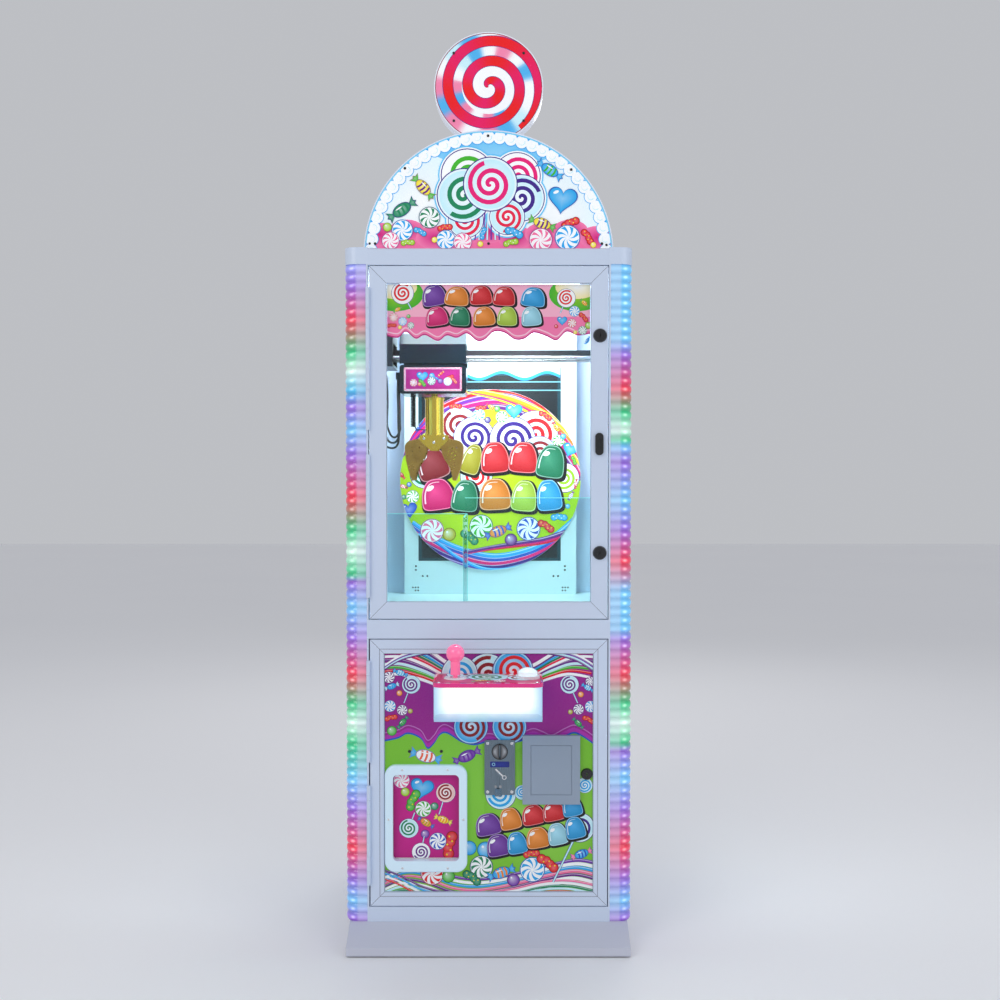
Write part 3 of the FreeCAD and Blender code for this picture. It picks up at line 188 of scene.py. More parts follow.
# Colour bands of the two light columns, as heights in metres.
LEFT_GLOW = [
    (1.504, LILAC), (1.454, PURPLE), (1.383, PINKRED), (1.313, GREEN), (1.273, HOT),
    (1.225, CYAN), (1.190, PURPLE), (1.141, LIGHT), (1.086, PURPLE), (0.994, PINKRED),
    (0.921, GREEN), (0.877, HOT), (0.822, GREEN), (0.807, PURPLE), (0.750, LIGHT),
    (0.679, PURPLE), (0.602, PINKRED), (0.536, GREEN), (0.492, HOT), (0.448, GREEN),
    (0.367, LIGHT), (0.301, PURPLE), (0.217, PINKRED), (0.147, PURPLE), (0.096, LIGHT),
    (0.059, PURPLE),
]
RIGHT_GLOW = [
    (1.504, LIGHT), (1.339, LIGHT), (1.306, PURPLE), (1.233, PINKRED), (1.181, GREEN),
    (1.141, HOT), (1.119, GREEN), (1.106, LIGHT), (1.071, PURPLE), (0.987, LIGHT),
    (0.921, PURPLE), (0.851, PINKRED), (0.785, LIGHT), (0.701, LIGHT), (0.679, PURPLE),
    (0.602, PINKRED), (0.536, GREEN), (0.492, HOT), (0.448, GREEN), (0.433, PURPLE),
    (0.371, LIGHT), (0.301, PURPLE), (0.217, PINKRED), (0.147, PURPLE), (0.096, LIGHT),
    (0.059, PURPLE),
]
RIB_LOW, RIB_PITCH = 0.052, 1.452 / 77      # foot of the ribs, and one rib's height
BEAD_INNER, BEAD_WIDE = 0.2685, 0.0215      # inner edge of the lamp beads, and one bead's width
RAMP_TOP = 1.6                              # height at the end of the colour ramp


def corner_glow():
    """Ribbed covers over colour-changing lamps: colour bands run up each side, and each rib has a
    bright core. The outer half is saturated and the inner half is frosted and paler."""
    s = Shader("corner_glow")
    place = s.add("SeparateXYZ", {0: s.coord})
    x, z = place.outputs["X"], place.outputs["Z"]

    def bands(stops):
        ramp = s.add("ValToRGB", {0: s.math("DIVIDE", z, RAMP_TOP)})
        points = ramp.color_ramp.elements
        ordered = sorted(stops)
        while len(points) < len(ordered):
            points.new(0.5)
        for point, (height, colour) in zip(points, ordered):
            point.position = height / RAMP_TOP
        for point, (height, colour) in zip(points, ordered):
            point.color = rgb(colour)
        return ramp.outputs[0]

    side = s.math("GREATER_THAN", x, 0.0)
    colour = s.mix(side, bands(LEFT_GLOW), bands(RIGHT_GLOW))
    across = s.math("ABSOLUTE", x)
    outer = s.spread(across, 0.0, 1.0, 0.288, 0.294)
    phase = s.math("FRACT", s.math("DIVIDE", s.math("SUBTRACT", z, RIB_LOW), RIB_PITCH))
    arch = s.math("SINE", s.math("MULTIPLY", phase, math.pi))
    core = s.math("POWER", arch, 2.5)
    bead_x = s.math("FRACT", s.math("DIVIDE", s.math("SUBTRACT", across, BEAD_INNER), BEAD_WIDE))
    bead = s.math("POWER", s.math("SINE", s.math("MULTIPLY", bead_x, math.pi)), 1.5)
    spot = s.math("MULTIPLY", core, bead)
    cloud = s.noise(22.0, 3.0)
    soft = s.mix(0.42, colour, rgb((0.86, 0.86, 0.93)))
    body = s.mix(outer, soft, colour)
    hot = s.math("MULTIPLY", s.math("POWER", spot, 2.0), outer)
    lit = s.mix(s.math("MULTIPLY", hot, 0.6), s.gamma(body, 1.5), rgb((1.0, 1.0, 1.0)))
    level = s.math("ADD", s.math("MULTIPLY", core, 0.26), s.math("MULTIPLY", hot, 0.55))
    strength = s.math("ADD", s.math("MULTIPLY", level, s.spread(cloud.outputs[0], 0.75, 1.2)), 0.12)
    base = s.gamma(body, 1.7)
    return s.surface(Base_Color=base, Roughness=s.spread(cloud.outputs[0], 0.14, 0.24), Emission_Color=lit,
                     Emission_Strength=s.math("MULTIPLY", strength, 0.75), Coat_Weight=0.5,
                     Coat_Roughness=0.06)


def light_box_painted_shade():
    """White plastic lit from inside. The glow is strongest in the middle and falls off to blue at the edges
    and
    under the nose: this fall-off is painted shade of the rounded sides and the nose. It has faint streaks."""
    s = Shader("light_box_painted_shade")
    place = s.add("SeparateXYZ", {0: s.coord})
    streaks = s.noise(30.0, 3.0)
    # Painted shade: towards the sides and under the nose, the colour turns blue and the glow dims.
    side = s.spread(s.math("ABSOLUTE", place.outputs["X"]), 1.0, 0.0, 0.085, 0.117)
    low = s.spread(place.outputs["Z"], 0.0, 1.0, 0.518, 0.556)
    level = s.math("MULTIPLY", s.math("MULTIPLY", side, low), s.spread(streaks.outputs[0], 0.85, 1.1))
    tint = s.mix(level, rgb((0.40, 0.68, 0.92)), rgb((0.97, 0.99, 1.0)))
    return s.surface(Base_Color=tint, Roughness=0.2, Emission_Color=tint, Coat_Weight=0.5,
                     Emission_Strength=s.math("ADD", s.math("MULTIPLY", level, 0.38), 0.24))


def perforated_brass():
    """Polished brass sheet with rows of small dimples, darkened inside with painted shade."""
    s = Shader("perforated_brass")
    cells = s.add("TexVoronoi", {"Vector": s.coord, "Scale": 115.0, "Randomness": 0.3})
    dot = s.math("LESS_THAN", cells.outputs["Distance"], 0.22)
    wear = s.noise(40.0, 4.0)
    tint = s.mix(s.spread(wear.outputs[0], 0.0, 0.6), rgb((0.62, 0.40, 0.10)), rgb((0.34, 0.20, 0.05)))
    # Painted shade: each dimple is darkened towards near-black.
    tint = s.mix(s.math("MULTIPLY", dot, 0.75), tint, rgb((0.10, 0.06, 0.02)))
    return s.surface(Base_Color=tint, Metallic=1.0, Roughness=s.spread(wear.outputs[0], 0.2, 0.42),
                     Normal=s.bump(s.math("SUBTRACT", 1.0, dot), 0.5, 0.0006, 0.0004))


FINISHES = {
    "body": powder_coat("body_paint", (0.66, 0.76, 0.93)),
    "plinth": powder_coat("plinth_paint", (0.60, 0.62, 0.72), 0.5),
    "dark": powder_coat("dark_paint", (0.012, 0.016, 0.020), 0.35),
    "grey": powder_coat("grey_paint", (0.30, 0.37, 0.47), 0.45),
    "coin": metal("coin_plate_metal", (0.20, 0.26, 0.31), 0.3, (20.0, 20.0, 1.0)),
    "inner": powder_coat("inner_paint", (0.72, 0.88, 0.92), 0.5),
    "steel": metal("drawn_steel", (0.62, 0.64, 0.66), 0.28, (1.0, 1.0, 25.0)),
    "zinc": metal("zinc_sheet", (0.55, 0.57, 0.58), 0.4, (6.0, 6.0, 6.0)),
    "chrome": metal("chrome", (0.82, 0.83, 0.85), 0.09, (3.0, 3.0, 3.0)),
    "gold": metal("gold_lacquer", (0.92, 0.68, 0.10), 0.16, (40.0, 40.0, 1.0)),
    "brass": perforated_brass(),
    "black": plastic("black_plastic", (0.012, 0.012, 0.014), 0.32),
    "rubber": plastic("rubber", (0.02, 0.02, 0.02), 0.75, coat=0.0),
    "white": plastic("white_plastic", (0.85, 0.87, 0.92), 0.25),
    "case": plastic("lamp_case", (0.80, 0.85, 0.95), 0.25, glow=0.15),
    "cap": plastic("cap_plastic", (0.68, 0.78, 0.95), 0.3),
    "box_glow_painted_shade": light_box_painted_shade(),
    "cyan_glow": plastic("cyan_glow", (0.62, 0.80, 0.92), 0.22, glow=0.16, coat=0.6),
    "flap": plastic("flap_plastic", (0.45, 0.01, 0.22), 0.2, coat=0.7),
    "deck": plastic("deck_acrylic", (0.70, 0.008, 0.20), 0.08, glow=0.22, coat=1.0),
    "pink_glow": plastic("pink_glow", (0.95, 0.16, 0.36), 0.12, glow=0.35, coat=1.0),
    "button": plastic("button_plastic", (0.80, 0.93, 0.97), 0.15, glow=0.35, coat=1.0),
    "lamp": plastic("lamp_strip", (0.9, 0.97, 1.0), 0.4, glow=4.0),
    "cable": plastic("cable_jacket", (0.010, 0.022, 0.020), 0.22, coat=0.5),
    # The sawn acrylic edges have no lamp of their own; their glow is painted light.
    "edge": plastic("acrylic_edge", (0.25, 0.75, 0.72), 0.2, glow=0.5),
    "glass": clear_sheet("door_glass", (0.975, 0.99, 0.99), 0.35),
    "acrylic": clear_sheet("acrylic", (0.84, 0.965, 0.96), 0.5, (0.02, 0.45, 0.45)),
    "hood": plastic("hood_plastic", (0.003, 0.016, 0.028), 0.2, coat=0.15),
    "corner": corner_glow(),
}
WEARS = {
    "plinth": "base_plinth",
    "rubber": "levelling_feet loop_cables claw_cord",
    "body": "front_frame side_panels rear_panel top_panel hinge_leaves upper_door_frame "
            "upper_door_hinge lower_door_frame lower_door_panel lower_door_hinge",
    "glass": "side_windows upper_door_glass",
    "black": "power_inlet power_switch upper_door_locks lock_cam_low lock_cam_high lower_door_lock "
             "lock_cam_lower_door joystick_gimbal",
    "cap": "column_caps",
    "corner": "led_covers",
    "lamp": "led_strips",
    "inner": "playfield_deck back_wall",
    "acrylic": "acrylic_walls",
    "zinc": "chute_duct cash_box",
    "white": "back_art_disc topper_faces deck_fittings",
    "case": "arch_case disc_case",
    "dark": "electronics bridge_frame carriage_frame",
    "cyan_glow": "prize_frame",
    "flap": "prize_flap",
    "coin": "coin_plate",
    "chrome": "coin_lever",
    "grey": "bill_cover",
    "box_glow_painted_shade": "control_housing",
    "deck": "control_deck",
    "pink_glow": "joystick",
    "button": "button_cap",
    "steel": "gantry_rails bridge_axle_front bridge_axle_rear carriage_axle_left carriage_axle_right "
             "hoist_drum",
    "hood": "carriage_cover label_box",
    "gold": "claw_head",
    "brass": "jaw_left jaw_right",
}
for finish, wearers in WEARS.items():
    for name in wearers.split():
        nodes[name].data.materials.clear()
        nodes[name].data.materials.append(FINISHES[finish])


# ------------------------------------------------------------------ printing
# Printed artwork is flat coloured shapes in thin layers, a hair apart, on each panel's face.
INKS = {
    "white": (0.95, 0.97, 0.98), "ice": (0.62, 0.88, 0.95), "sky": (0.03, 0.48, 0.85),
    "cobalt": (0.02, 0.16, 0.62), "navy": (0.09, 0.03, 0.33), "plum": (0.22, 0.03, 0.33),
    "violet": (0.25, 0.06, 0.48), "magenta": (0.83, 0.01, 0.27), "pink": (0.90, 0.25, 0.45),
    "blush": (0.93, 0.65, 0.62), "red": (0.83, 0.02, 0.12), "crimson": (0.80, 0.01, 0.03),
    "maroon": (0.38, 0.01, 0.03), "coral": (0.90, 0.22, 0.12), "amber": (0.92, 0.36, 0.03),
    "yellow": (0.93, 0.80, 0.04), "olive": (0.55, 0.50, 0.02), "pear": (0.55, 0.75, 0.10),
    "lime": (0.45, 0.70, 0.02), "leaf": (0.10, 0.55, 0.05), "jade": (0.0, 0.33, 0.17),
    "frost": (0.45, 0.80, 0.92), "black": (0.008, 0.006, 0.010), "rose": (0.70, 0.02, 0.30),
    "teal": (0.0, 0.10, 0.13), "meadow": (0.28, 0.62, 0.06), "gold": (0.90, 0.80, 0.02),
}


def blend_ink(a, b, t):
    return tuple(p + (q - p) * t for p, q in zip(a, b))


def paler(ink, t):
    return blend_ink(ink, INKS["white"], t)


def smooth_line(points, steps=10):
    """A smooth run through the points."""
    p = [points[0]] + list(points) + [points[-1]]
    line = []
    for i in range(1, len(p) - 2):
        for k in range(steps):
            t = k / steps
            line.append(tuple(0.5 * (2 * b + (c - a) * t + (2 * a - 5 * b + 4 * c - d) * t * t
                                     + (3 * b - a - 3 * c + d) * t ** 3)
                              for a, b, c, d in zip(p[i - 1], p[i], p[i + 1], p[i + 2])))
    return line + [points[-1]]


class Artwork:
    """Shapes in millimetres on an upright sheet. Each goes on top of what it overlaps."""

    layer = 0.03            # from one shape to the next on top of it
    plump = (1.8, 1.75)     # a gum drop's width and height, over the room it has in its row

    def __init__(self):
        self.verts, self.inks, self.faces, self.stack = [], [], [], []

    def _level(self, points):
        xs, zs = [p[0] for p in points], [p[1] for p in points]
        me = (min(xs), max(xs), min(zs), max(zs))
        under = [n for b, n in self.stack if me[0] < b[1] and b[0] < me[1] and me[2] < b[3] and b[2] < me[3]]
        level = 1 + max(under, default=0)
        self.stack.append((me, level))
        return level

    def _point(self, p, level, ink):
        self.verts.append((p[0] * MM, -level * self.layer * MM, p[1] * MM))
        self.inks.append(ink)
        return len(self.verts) - 1

    def patch(self, outline, rim, middle=None, heart=None):
        """A filled outline, shaded from its rim to its middle, which is at heart."""
        level = self._level(outline)
        n = len(outline)
        heart = heart or (sum(p[0] for p in outline) / n, sum(p[1] for p in outline) / n)
        centre = self._point(heart, level, middle or rim)
        ring = [self._point(p, level, rim) for p in outline]
        self.faces += [(centre, ring[(i + 1) % n], ring[i]) for i in range(n)]

    def band(self, left, right, inks):
        """A strip between two lines. inks is one colour, or one for each point."""
        level = self._level(left + right)
        each = inks if isinstance(inks, list) else [inks] * len(left)
        a = [self._point(p, level, c) for p, c in zip(left, each)]
        b = [self._point(p, level, c) for p, c in zip(right, each)]
        self.faces += [(a[i], a[i + 1], b[i + 1], b[i]) for i in range(len(a) - 1)]

    def stroke(self, points, width, ink):
        """A line of even width, or one that tapers when width is a pair."""
        w0, w1 = width if isinstance(width, tuple) else (width, width)
        left, right = [], []
        for i, p in enumerate(points):
            q, r = points[max(i - 1, 0)], points[min(i + 1, len(points) - 1)]
            dx, dz = r[0] - q[0], r[1] - q[1]
            size = math.hypot(dx, dz) or 1.0
            w = 0.5 * (w0 + (w1 - w0) * i / (len(points) - 1))
            left.append((p[0] - dz / size * w, p[1] + dx / size * w))
            right.append((p[0] + dz / size * w, p[1] - dx / size * w))
        self.band(left, right, ink)

    def disc(self, x, z, r, rim, middle=None, heart=None, count=36):
        self.patch(oval(x, z, r, r, 0, count), rim, middle, heart)

    def spiral(self, x, z, r, turns, ink, share, start, taper=0.35):
        """A swirl out to radius r. share is its width over its pitch, less over its first taper turns."""
        pitch = r / turns
        inner, outer = [], []
        count = int(26 * turns)
        for i in range(count + 1):
            t = i / count * turns
            a = start - t * math.tau
            wide = pitch * share * min(1.0, t / taper)
            high = min(t * pitch, r)
            outer.append((x + high * math.cos(a), z + high * math.sin(a)))
            low = max(high - wide, 0.0)
            inner.append((x + low * math.cos(a), z + low * math.sin(a)))
        self.band(outer, inner, ink)

    def lolly(self, x, z, r, dark, light, stick=None):
        deep, pale = INKS[dark], INKS[light]
        if stick:
            self.stroke([(x, z), stick], r * 0.16, INKS["navy"])
            self.stroke([(x, z), stick], r * 0.10, INKS["ice"])
        self.disc(x, z, r * 1.04, INKS["navy"])
        self.disc(x, z, r, paler(pale, 0.55), INKS["white"])
        self.disc(x, z, r * 0.93, pale, INKS["white"])
        self.spiral(x, z, r * 0.92, 2.75, deep, 0.52, x * 0.07)

    def mint(self, x, z, r, colour):
        ink = INKS[colour]
        self.disc(x, z, r * 1.08, blend_ink(ink, INKS["navy"], 0.5))
        self.disc(x, z, r, INKS["white"], INKS["white"])
        for k in range(8):
            edges = ([], [])
            for i in range(7):
                t = i / 6
                a = k * math.tau / 8 + 0.75 * t + z
                for edge, turn in zip(edges, (-0.05 - 0.16 * t, 0.05 + 0.16 * t)):
                    edge.append((x + r * (0.1 + 0.86 * t) * math.cos(a + turn),
                                 z + r * (0.1 + 0.86 * t) * math.sin(a + turn)))
            self.band(edges[0], edges[1], ink)

    def ball(self, x, z, r, colour):
        ink = INKS[colour]
        self.disc(x, z, r * 1.1, blend_ink(ink, INKS["black"], 0.6), count=24)
        self.disc(x, z, r, ink, paler(ink, 0.65), (x - r * 0.3, z + r * 0.3), 24)
        self.disc(x - r * 0.35, z + r * 0.4, r * 0.16, INKS["white"], count=10)

    def heart(self, x, z, size, angle, colour):
        ink = INKS[colour]
        for grow, rim, middle in ((1.1, blend_ink(ink, INKS["navy"], 0.6), None),
                                  (1.0, ink, paler(ink, 0.35))):
            shape = []
            for i in range(40):
                t = i / 40 * math.tau
                u = 16 * math.sin(t) ** 3
                v = 13 * math.cos(t) - 5 * math.cos(2 * t) - 2 * math.cos(3 * t) - math.cos(4 * t)
                shape.append((u * size / 17 * grow, v * size / 17 * grow))
            self.patch(placed(shape, x, z, angle), rim, middle, (x, z))
        shine = oval(-0.5 * size, 0.4 * size, 0.2 * size, 0.1 * size, 30, 16)
        self.patch(placed(shine, x, z, angle), INKS["white"])

    def wrapped(self, x, z, length, angle, body, stripe, wing):
        a, b = length * 0.29, length * 0.17
        dark = blend_ink(INKS[body], INKS["navy"], 0.7)
        for side in (-1, 1):
            fan = [(side * a * 0.75, 0)]
            fan += [(side * length * u, b * v) for u, v in
                    ((0.46, 0.95), (0.43, 0.3), (0.5, 0), (0.43, -0.3), (0.46, -0.95))]
            self.patch(placed([(u * 1.06, v * 1.18) for u, v in fan], x, z, angle), dark)
            self.patch(placed(fan, x, z, angle), INKS[wing], paler(INKS[wing], 0.3))
        self.patch(placed(oval(0, 0, a * 1.1, b * 1.15, 0, 26), x, z, angle), dark)
        self.patch(placed(oval(0, 0, a, b, 0, 26), x, z, angle), INKS[body], paler(INKS[body], 0.4))
        for u in (-0.5, 0.0, 0.5):
            height = b * math.sqrt(1 - u * u) * 0.96
            line = [(u * a + 0.12 * a * math.cos(v * 1.5), height * v) for v in (-1, -0.5, 0, 0.5, 1)]
            self.stroke(placed(line, x, z, angle), a * 0.22, INKS[stripe])
        self.patch(placed(oval(-0.2 * a, 0.5 * b, 0.4 * a, 0.12 * b, 0, 14), x, z, angle), INKS["white"])

    def bean(self, x, z, length, angle, colour):
        ink = INKS[colour]
        lobes = [(-0.32, 0.02, 0.19), (-0.1, 0.07, 0.17), (0.12, 0.0, 0.18), (0.33, -0.05, 0.19)]
        for grow, rim, middle in ((1.16, blend_ink(ink, INKS["black"], 0.6), None),
                                  (1.0, ink, paler(ink, 0.25))):
            for u, v, r in lobes:
                shape = oval(u * length, v * length, r * length * grow, r * length * grow, 0, 20)
                self.patch(placed(shape, x, z, angle), rim, middle)
        for u, v in ((-0.36, 0.08), (-0.18, -0.04), (0.02, 0.1), (0.16, -0.07), (0.33, 0.05)):
            dot = oval(u * length, v * length, 0.035 * length, 0.035 * length, 0, 10)
            speck = "gold" if colour in ("crimson", "leaf", "jade") else "white"
            self.patch(placed(dot, x, z, angle), INKS[speck])

    def gum(self, x, z, wide, high, angle, colour):
        """A glossy sugar drop with a dark outline, a shadow, a bright rim and a highlight."""
        ink = INKS[colour]
        wide, high = wide * self.plump[0], high * self.plump[1]

        def drop(k):
            shape = []
            for i in range(40):
                t = i / 40 * math.tau
                c, s = math.cos(t), math.sin(t)
                u = math.copysign(abs(c) ** 0.62, c) * wide / 2 * (1.0 - 0.17 * s)
                v = math.copysign(abs(s) ** 0.72, s) * high / 2 - 0.05 * high * math.cos(2 * t)
                shape.append((u * k, v * k))
            return shape

        self.patch(placed(drop(1.12), x + wide * 0.05, z - high * 0.05, angle), INKS["black"])
        self.patch(placed(drop(1.0), x, z, angle), paler(ink, 0.35))
        self.patch(placed(drop(0.94), x, z, angle), blend_ink(ink, INKS["black"], 0.25),
                   paler(ink, 0.12), (x - wide * 0.12, z + high * 0.15))
        rim = [p for i, p in enumerate(drop(0.8)) if 9 <= i <= 22]
        self.stroke(placed(rim, x, z, angle), (wide * 0.015, wide * 0.05), paler(ink, 0.75))
        shine = oval(-0.2 * wide, 0.27 * high, 0.13 * wide, 0.07 * high, 25, 16)
        self.patch(placed(shine, x, z, angle), INKS["white"])

    def ribbons(self, spine, spread, colours, width):
        """Twisted stripes side by side along a spine. spread is the sideways step at each end."""
        for k, colour in enumerate(colours):
            offset = k - (len(colours) - 1) / 2
            line = []
            for i, (u, v) in enumerate(spine):
                t = i / (len(spine) - 1)
                step = spread[0] + (spread[1] - spread[0]) * t
                line.append((u + offset * step * 0.35, v + offset * step))
            path = smooth_line(line)
            ink = INKS[colour]
            self.stroke(path, (width * 0.7, width * 1.1), ink)
            self.stroke([(u, v + width * 0.18) for u, v in path], (width * 0.1, width * 0.25),
                        paler(ink, 0.55))

    def draw(self, items):
        for kind, x, z, *rest in items:
            getattr(self, kind)(x, z, *rest)

    def make(self, name, body, y, keep, finish, holes=()):
        """The finished sheet at depth y, trimmed to the convex outline keep. holes are (x0, x1, z0, z1)."""
        mesh = bpy.data.meshes.new(name)
        mesh.from_pydata(self.verts, [], self.faces)
        layer = mesh.color_attributes.new("ink", "FLOAT_COLOR", "POINT")
        for i, ink in enumerate(self.inks):
            layer.data[i].color = (*ink, 1.0)
        bm = bmesh.new()
        bm.from_mesh(mesh)
        n = len(keep)
        cuts = []
        for i in range(n):
            a, b = keep[i], keep[(i + 1) % n]
            cuts.append((a, (b[1] - a[1], a[0] - b[0]), True))
        for x0, x1, z0, z1 in holes:
            cuts += [((x0, z0), (1, 0), False), ((x1, z0), (1, 0), False),
                     ((x0, z0), (0, 1), False), ((x0, z1), (0, 1), False)]
        for at, out, clear in cuts:
            everything = bm.verts[:] + bm.edges[:] + bm.faces[:]
            bmesh.ops.bisect_plane(bm, geom=everything, dist=1e-7, clear_outer=clear,
                                   plane_co=(at[0] * MM, 0, at[1] * MM), plane_no=(out[0], 0, out[1]))
        gone = []
        for face in bm.faces:
            c = face.calc_center_median() / MM
            if any(x0 < c.x < x1 and z0 < c.z < z1 for x0, x1, z0, z1 in holes):
                gone.append(face)
        bmesh.ops.delete(bm, geom=gone, context="FACES")
        for face in bm.faces:
            if face.normal.y > 0:
                face.normal_flip()
        bm.to_mesh(mesh)
        bm.free()
        mesh.transform(Matrix.Translation((0, y, 0)))
        mesh.materials.append(finish)
        obj = bpy.data.objects.new(name, mesh)
        bpy.context.scene.collection.objects.link(obj)
        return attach(obj, body)


def oval(x, z, a, b, angle=0, count=32):
    turns = [i / count * math.tau for i in range(count)]
    return placed([(a * math.cos(t), b * math.sin(t)) for t in turns], x, z, angle)


def placed(points, x, z, angle=0):
    c, s = math.cos(math.radians(angle)), math.sin(math.radians(angle))
    return [(x + u * c - v * s, z + u * s + v * c) for u, v in points]


def rectangle(x0, x1, z0, z1):
    return [(x0, z0), (x1, z0), (x1, z1), (x0, z1)]


def half_ring(z, radius, steps):
    """The upper half of a circle round (0, z)."""
    turns = [math.pi * i / steps for i in range(steps + 1)]
    return [(radius * math.cos(t), z + radius * math.sin(t)) for t in turns]


def rounded(x0, x1, z0, z1, r, steps=6):
    shape = []
    corners = ((x1 - r, z0 + r), (x1 - r, z1 - r), (x0 + r, z1 - r), (x0 + r, z0 + r))
    for (cx, cz), turn in zip(corners, (-90, 0, 90, 180)):
        for i in range(steps + 1):
            a = math.radians(turn + 90 * i / steps)
            shape.append((cx + r * math.cos(a), cz + r * math.sin(a)))
    return shape


INK_LIT = printed("ink_lit", 0.22)
# INK_PLAIN's faint glow is painted light: the prints it goes on have no lamp behind them.
INK_PLAIN = printed("ink_plain", 0.03)


# Artwork lists: kind, x, z, then sizes in millimetres, turns in degrees and inks.
ARCH_ART = [
    ("lolly", -50, 1603, 38, "red", "ice"), ("lolly", -47, 1702, 56, "leaf", "white"),
    ("lolly", 63, 1700, 50, "magenta", "white"), ("lolly", 72, 1652, 50, "navy", "ice"),
    ("lolly", -54, 1657, 58, "jade", "ice"), ("lolly", 41, 1610, 38, "red", "ice"),
    ("lolly", 4, 1682, 58, "magenta", "ice"), ("wrapped", -144, 1675, 65, -48, "yellow", "plum", "leaf"),
    ("wrapped", -191, 1626, 72, 34, "jade", "jade", "jade"),
    ("wrapped", 135, 1713, 65, -34, "sky", "leaf", "sky"),
    ("wrapped", 118, 1596, 63, -20, "yellow", "plum", "leaf"), ("mint", -130, 1609, 22, "jade"),
    ("mint", -190, 1581, 22, "sky"), ("heart", 163, 1650, 32, -8, "sky"), ("ball", -223, 1588, 9, "lime"),
    ("bean", -151, 1578, 29, -20, "sky"), ("bean", -96, 1587, 32, 15, "crimson"),
    ("bean", 180, 1597, 40, 30, "crimson"), ("bean", 218, 1567, 36, -50, "crimson"),
    ("mint", -216, 1558, 18, "pink"), ("bean", -178, 1554, 29, 10, "lime"), ("mint", -94, 1560, 20, "sky"),
    ("mint", -57, 1555, 19, "pink"), ("bean", -12, 1574, 27, 80, "sky"), ("mint", 115, 1560, 24, "pink"),
    ("bean", 56, 1576, 40, -15, "sky"), ("bean", 49, 1554, 32, 20, "lime"), ("mint", 174, 1565, 26, "sky"),
    ("ball", 231, 1549, 6, "yellow"), ("ball", -18, 1551, 6, "yellow"), ("ball", -119, 1560, 6, "yellow"),
]
WALL_ART = [
    ("lolly", -82, 1168, 50, "maroon", "ice"), ("lolly", 117, 1148, 59, "crimson", "white"),
    ("lolly", -43, 1139, 52, "navy", "white"), ("lolly", 58, 1132, 59, "navy", "white"),
    ("lolly", 128, 1096, 45, "maroon", "ice"), ("lolly", 194, 1033, 38, "lime", "white"),
    ("lolly", -174, 1042, 36, "jade", "ice"), ("lolly", -37, 1037, 41, "crimson", "ice"),
    ("ball", -7, 1184, 8, "navy"), ("mint", -30, 1198, 15, "sky"), ("mint", 30, 1192, 15, "leaf"),
    ("heart", 62, 1208, 22, 0, "sky"), ("bean", -25, 1216, 27, 10, "crimson"),
    ("wrapped", 3, 1217, 32, -30, "yellow", "crimson", "crimson"), ("bean", -91, 1220, 32, 5, "crimson"),
    ("ball", 18, 1213, 7, "leaf"), ("bean", 144, 1195, 36, -25, "crimson"),
    ("wrapped", 173, 1164, 36, -55, "yellow", "crimson", "crimson"), ("mint", 178, 1129, 15, "leaf"),
    ("ball", 191, 1141, 7, "sky"), ("heart", 209, 1107, 20, -20, "sky"),
    ("bean", 219, 1078, 23, -60, "leaf"), ("wrapped", 224, 1017, 27, 80, "crimson", "white", "crimson"),
    ("wrapped", 211, 985, 27, 60, "white", "plum", "plum"), ("mint", 185, 960, 12, "leaf"),
    ("ball", 203, 958, 6, "sky"), ("bean", 180, 929, 41, 5, "sky"), ("bean", -188, 1173, 36, 70, "cobalt"),
    ("wrapped", -233, 1040, 27, -50, "crimson", "maroon", "crimson"),
    ("wrapped", -229, 1010, 27, -20, "crimson", "white", "maroon"), ("mint", -204, 983, 16, "leaf"),
    ("ball", -213, 1015, 6, "cobalt"), ("ball", -227, 982, 6, "jade"),
    ("heart", -214, 949, 22, 10, "cobalt"), ("gum", -152, 1067, 45, 51, 18, "maroon"),
    ("gum", -50, 1078, 28, 45, -18, "olive"), ("gum", 12, 1082, 41, 46, 4, "crimson"),
    ("gum", 86, 1082, 41, 46, -4, "crimson"), ("gum", 158, 1071, 40, 49, -8, "jade"),
    ("gum", -138, 985, 47, 47, 8, "magenta"), ("gum", -67, 981, 38, 47, -6, "jade"),
    ("gum", 12, 985, 45, 47, 3, "amber"), ("gum", 88, 981, 36, 46, -5, "pear"),
    ("gum", 154, 983, 36, 46, 6, "sky"), ("mint", -153, 894, 29, "pink"), ("ball", -108, 884, 16, "olive"),
    ("bean", -55, 877, 50, -30, "jade"), ("mint", -24, 905, 29, "leaf"),
    ("wrapped", 20, 892, 75, 22, "amber", "cobalt", "cobalt"), ("ball", 54, 870, 15, "plum"),
    ("mint", 100, 899, 29, "cobalt"), ("bean", 146, 906, 45, -25, "crimson"),
]
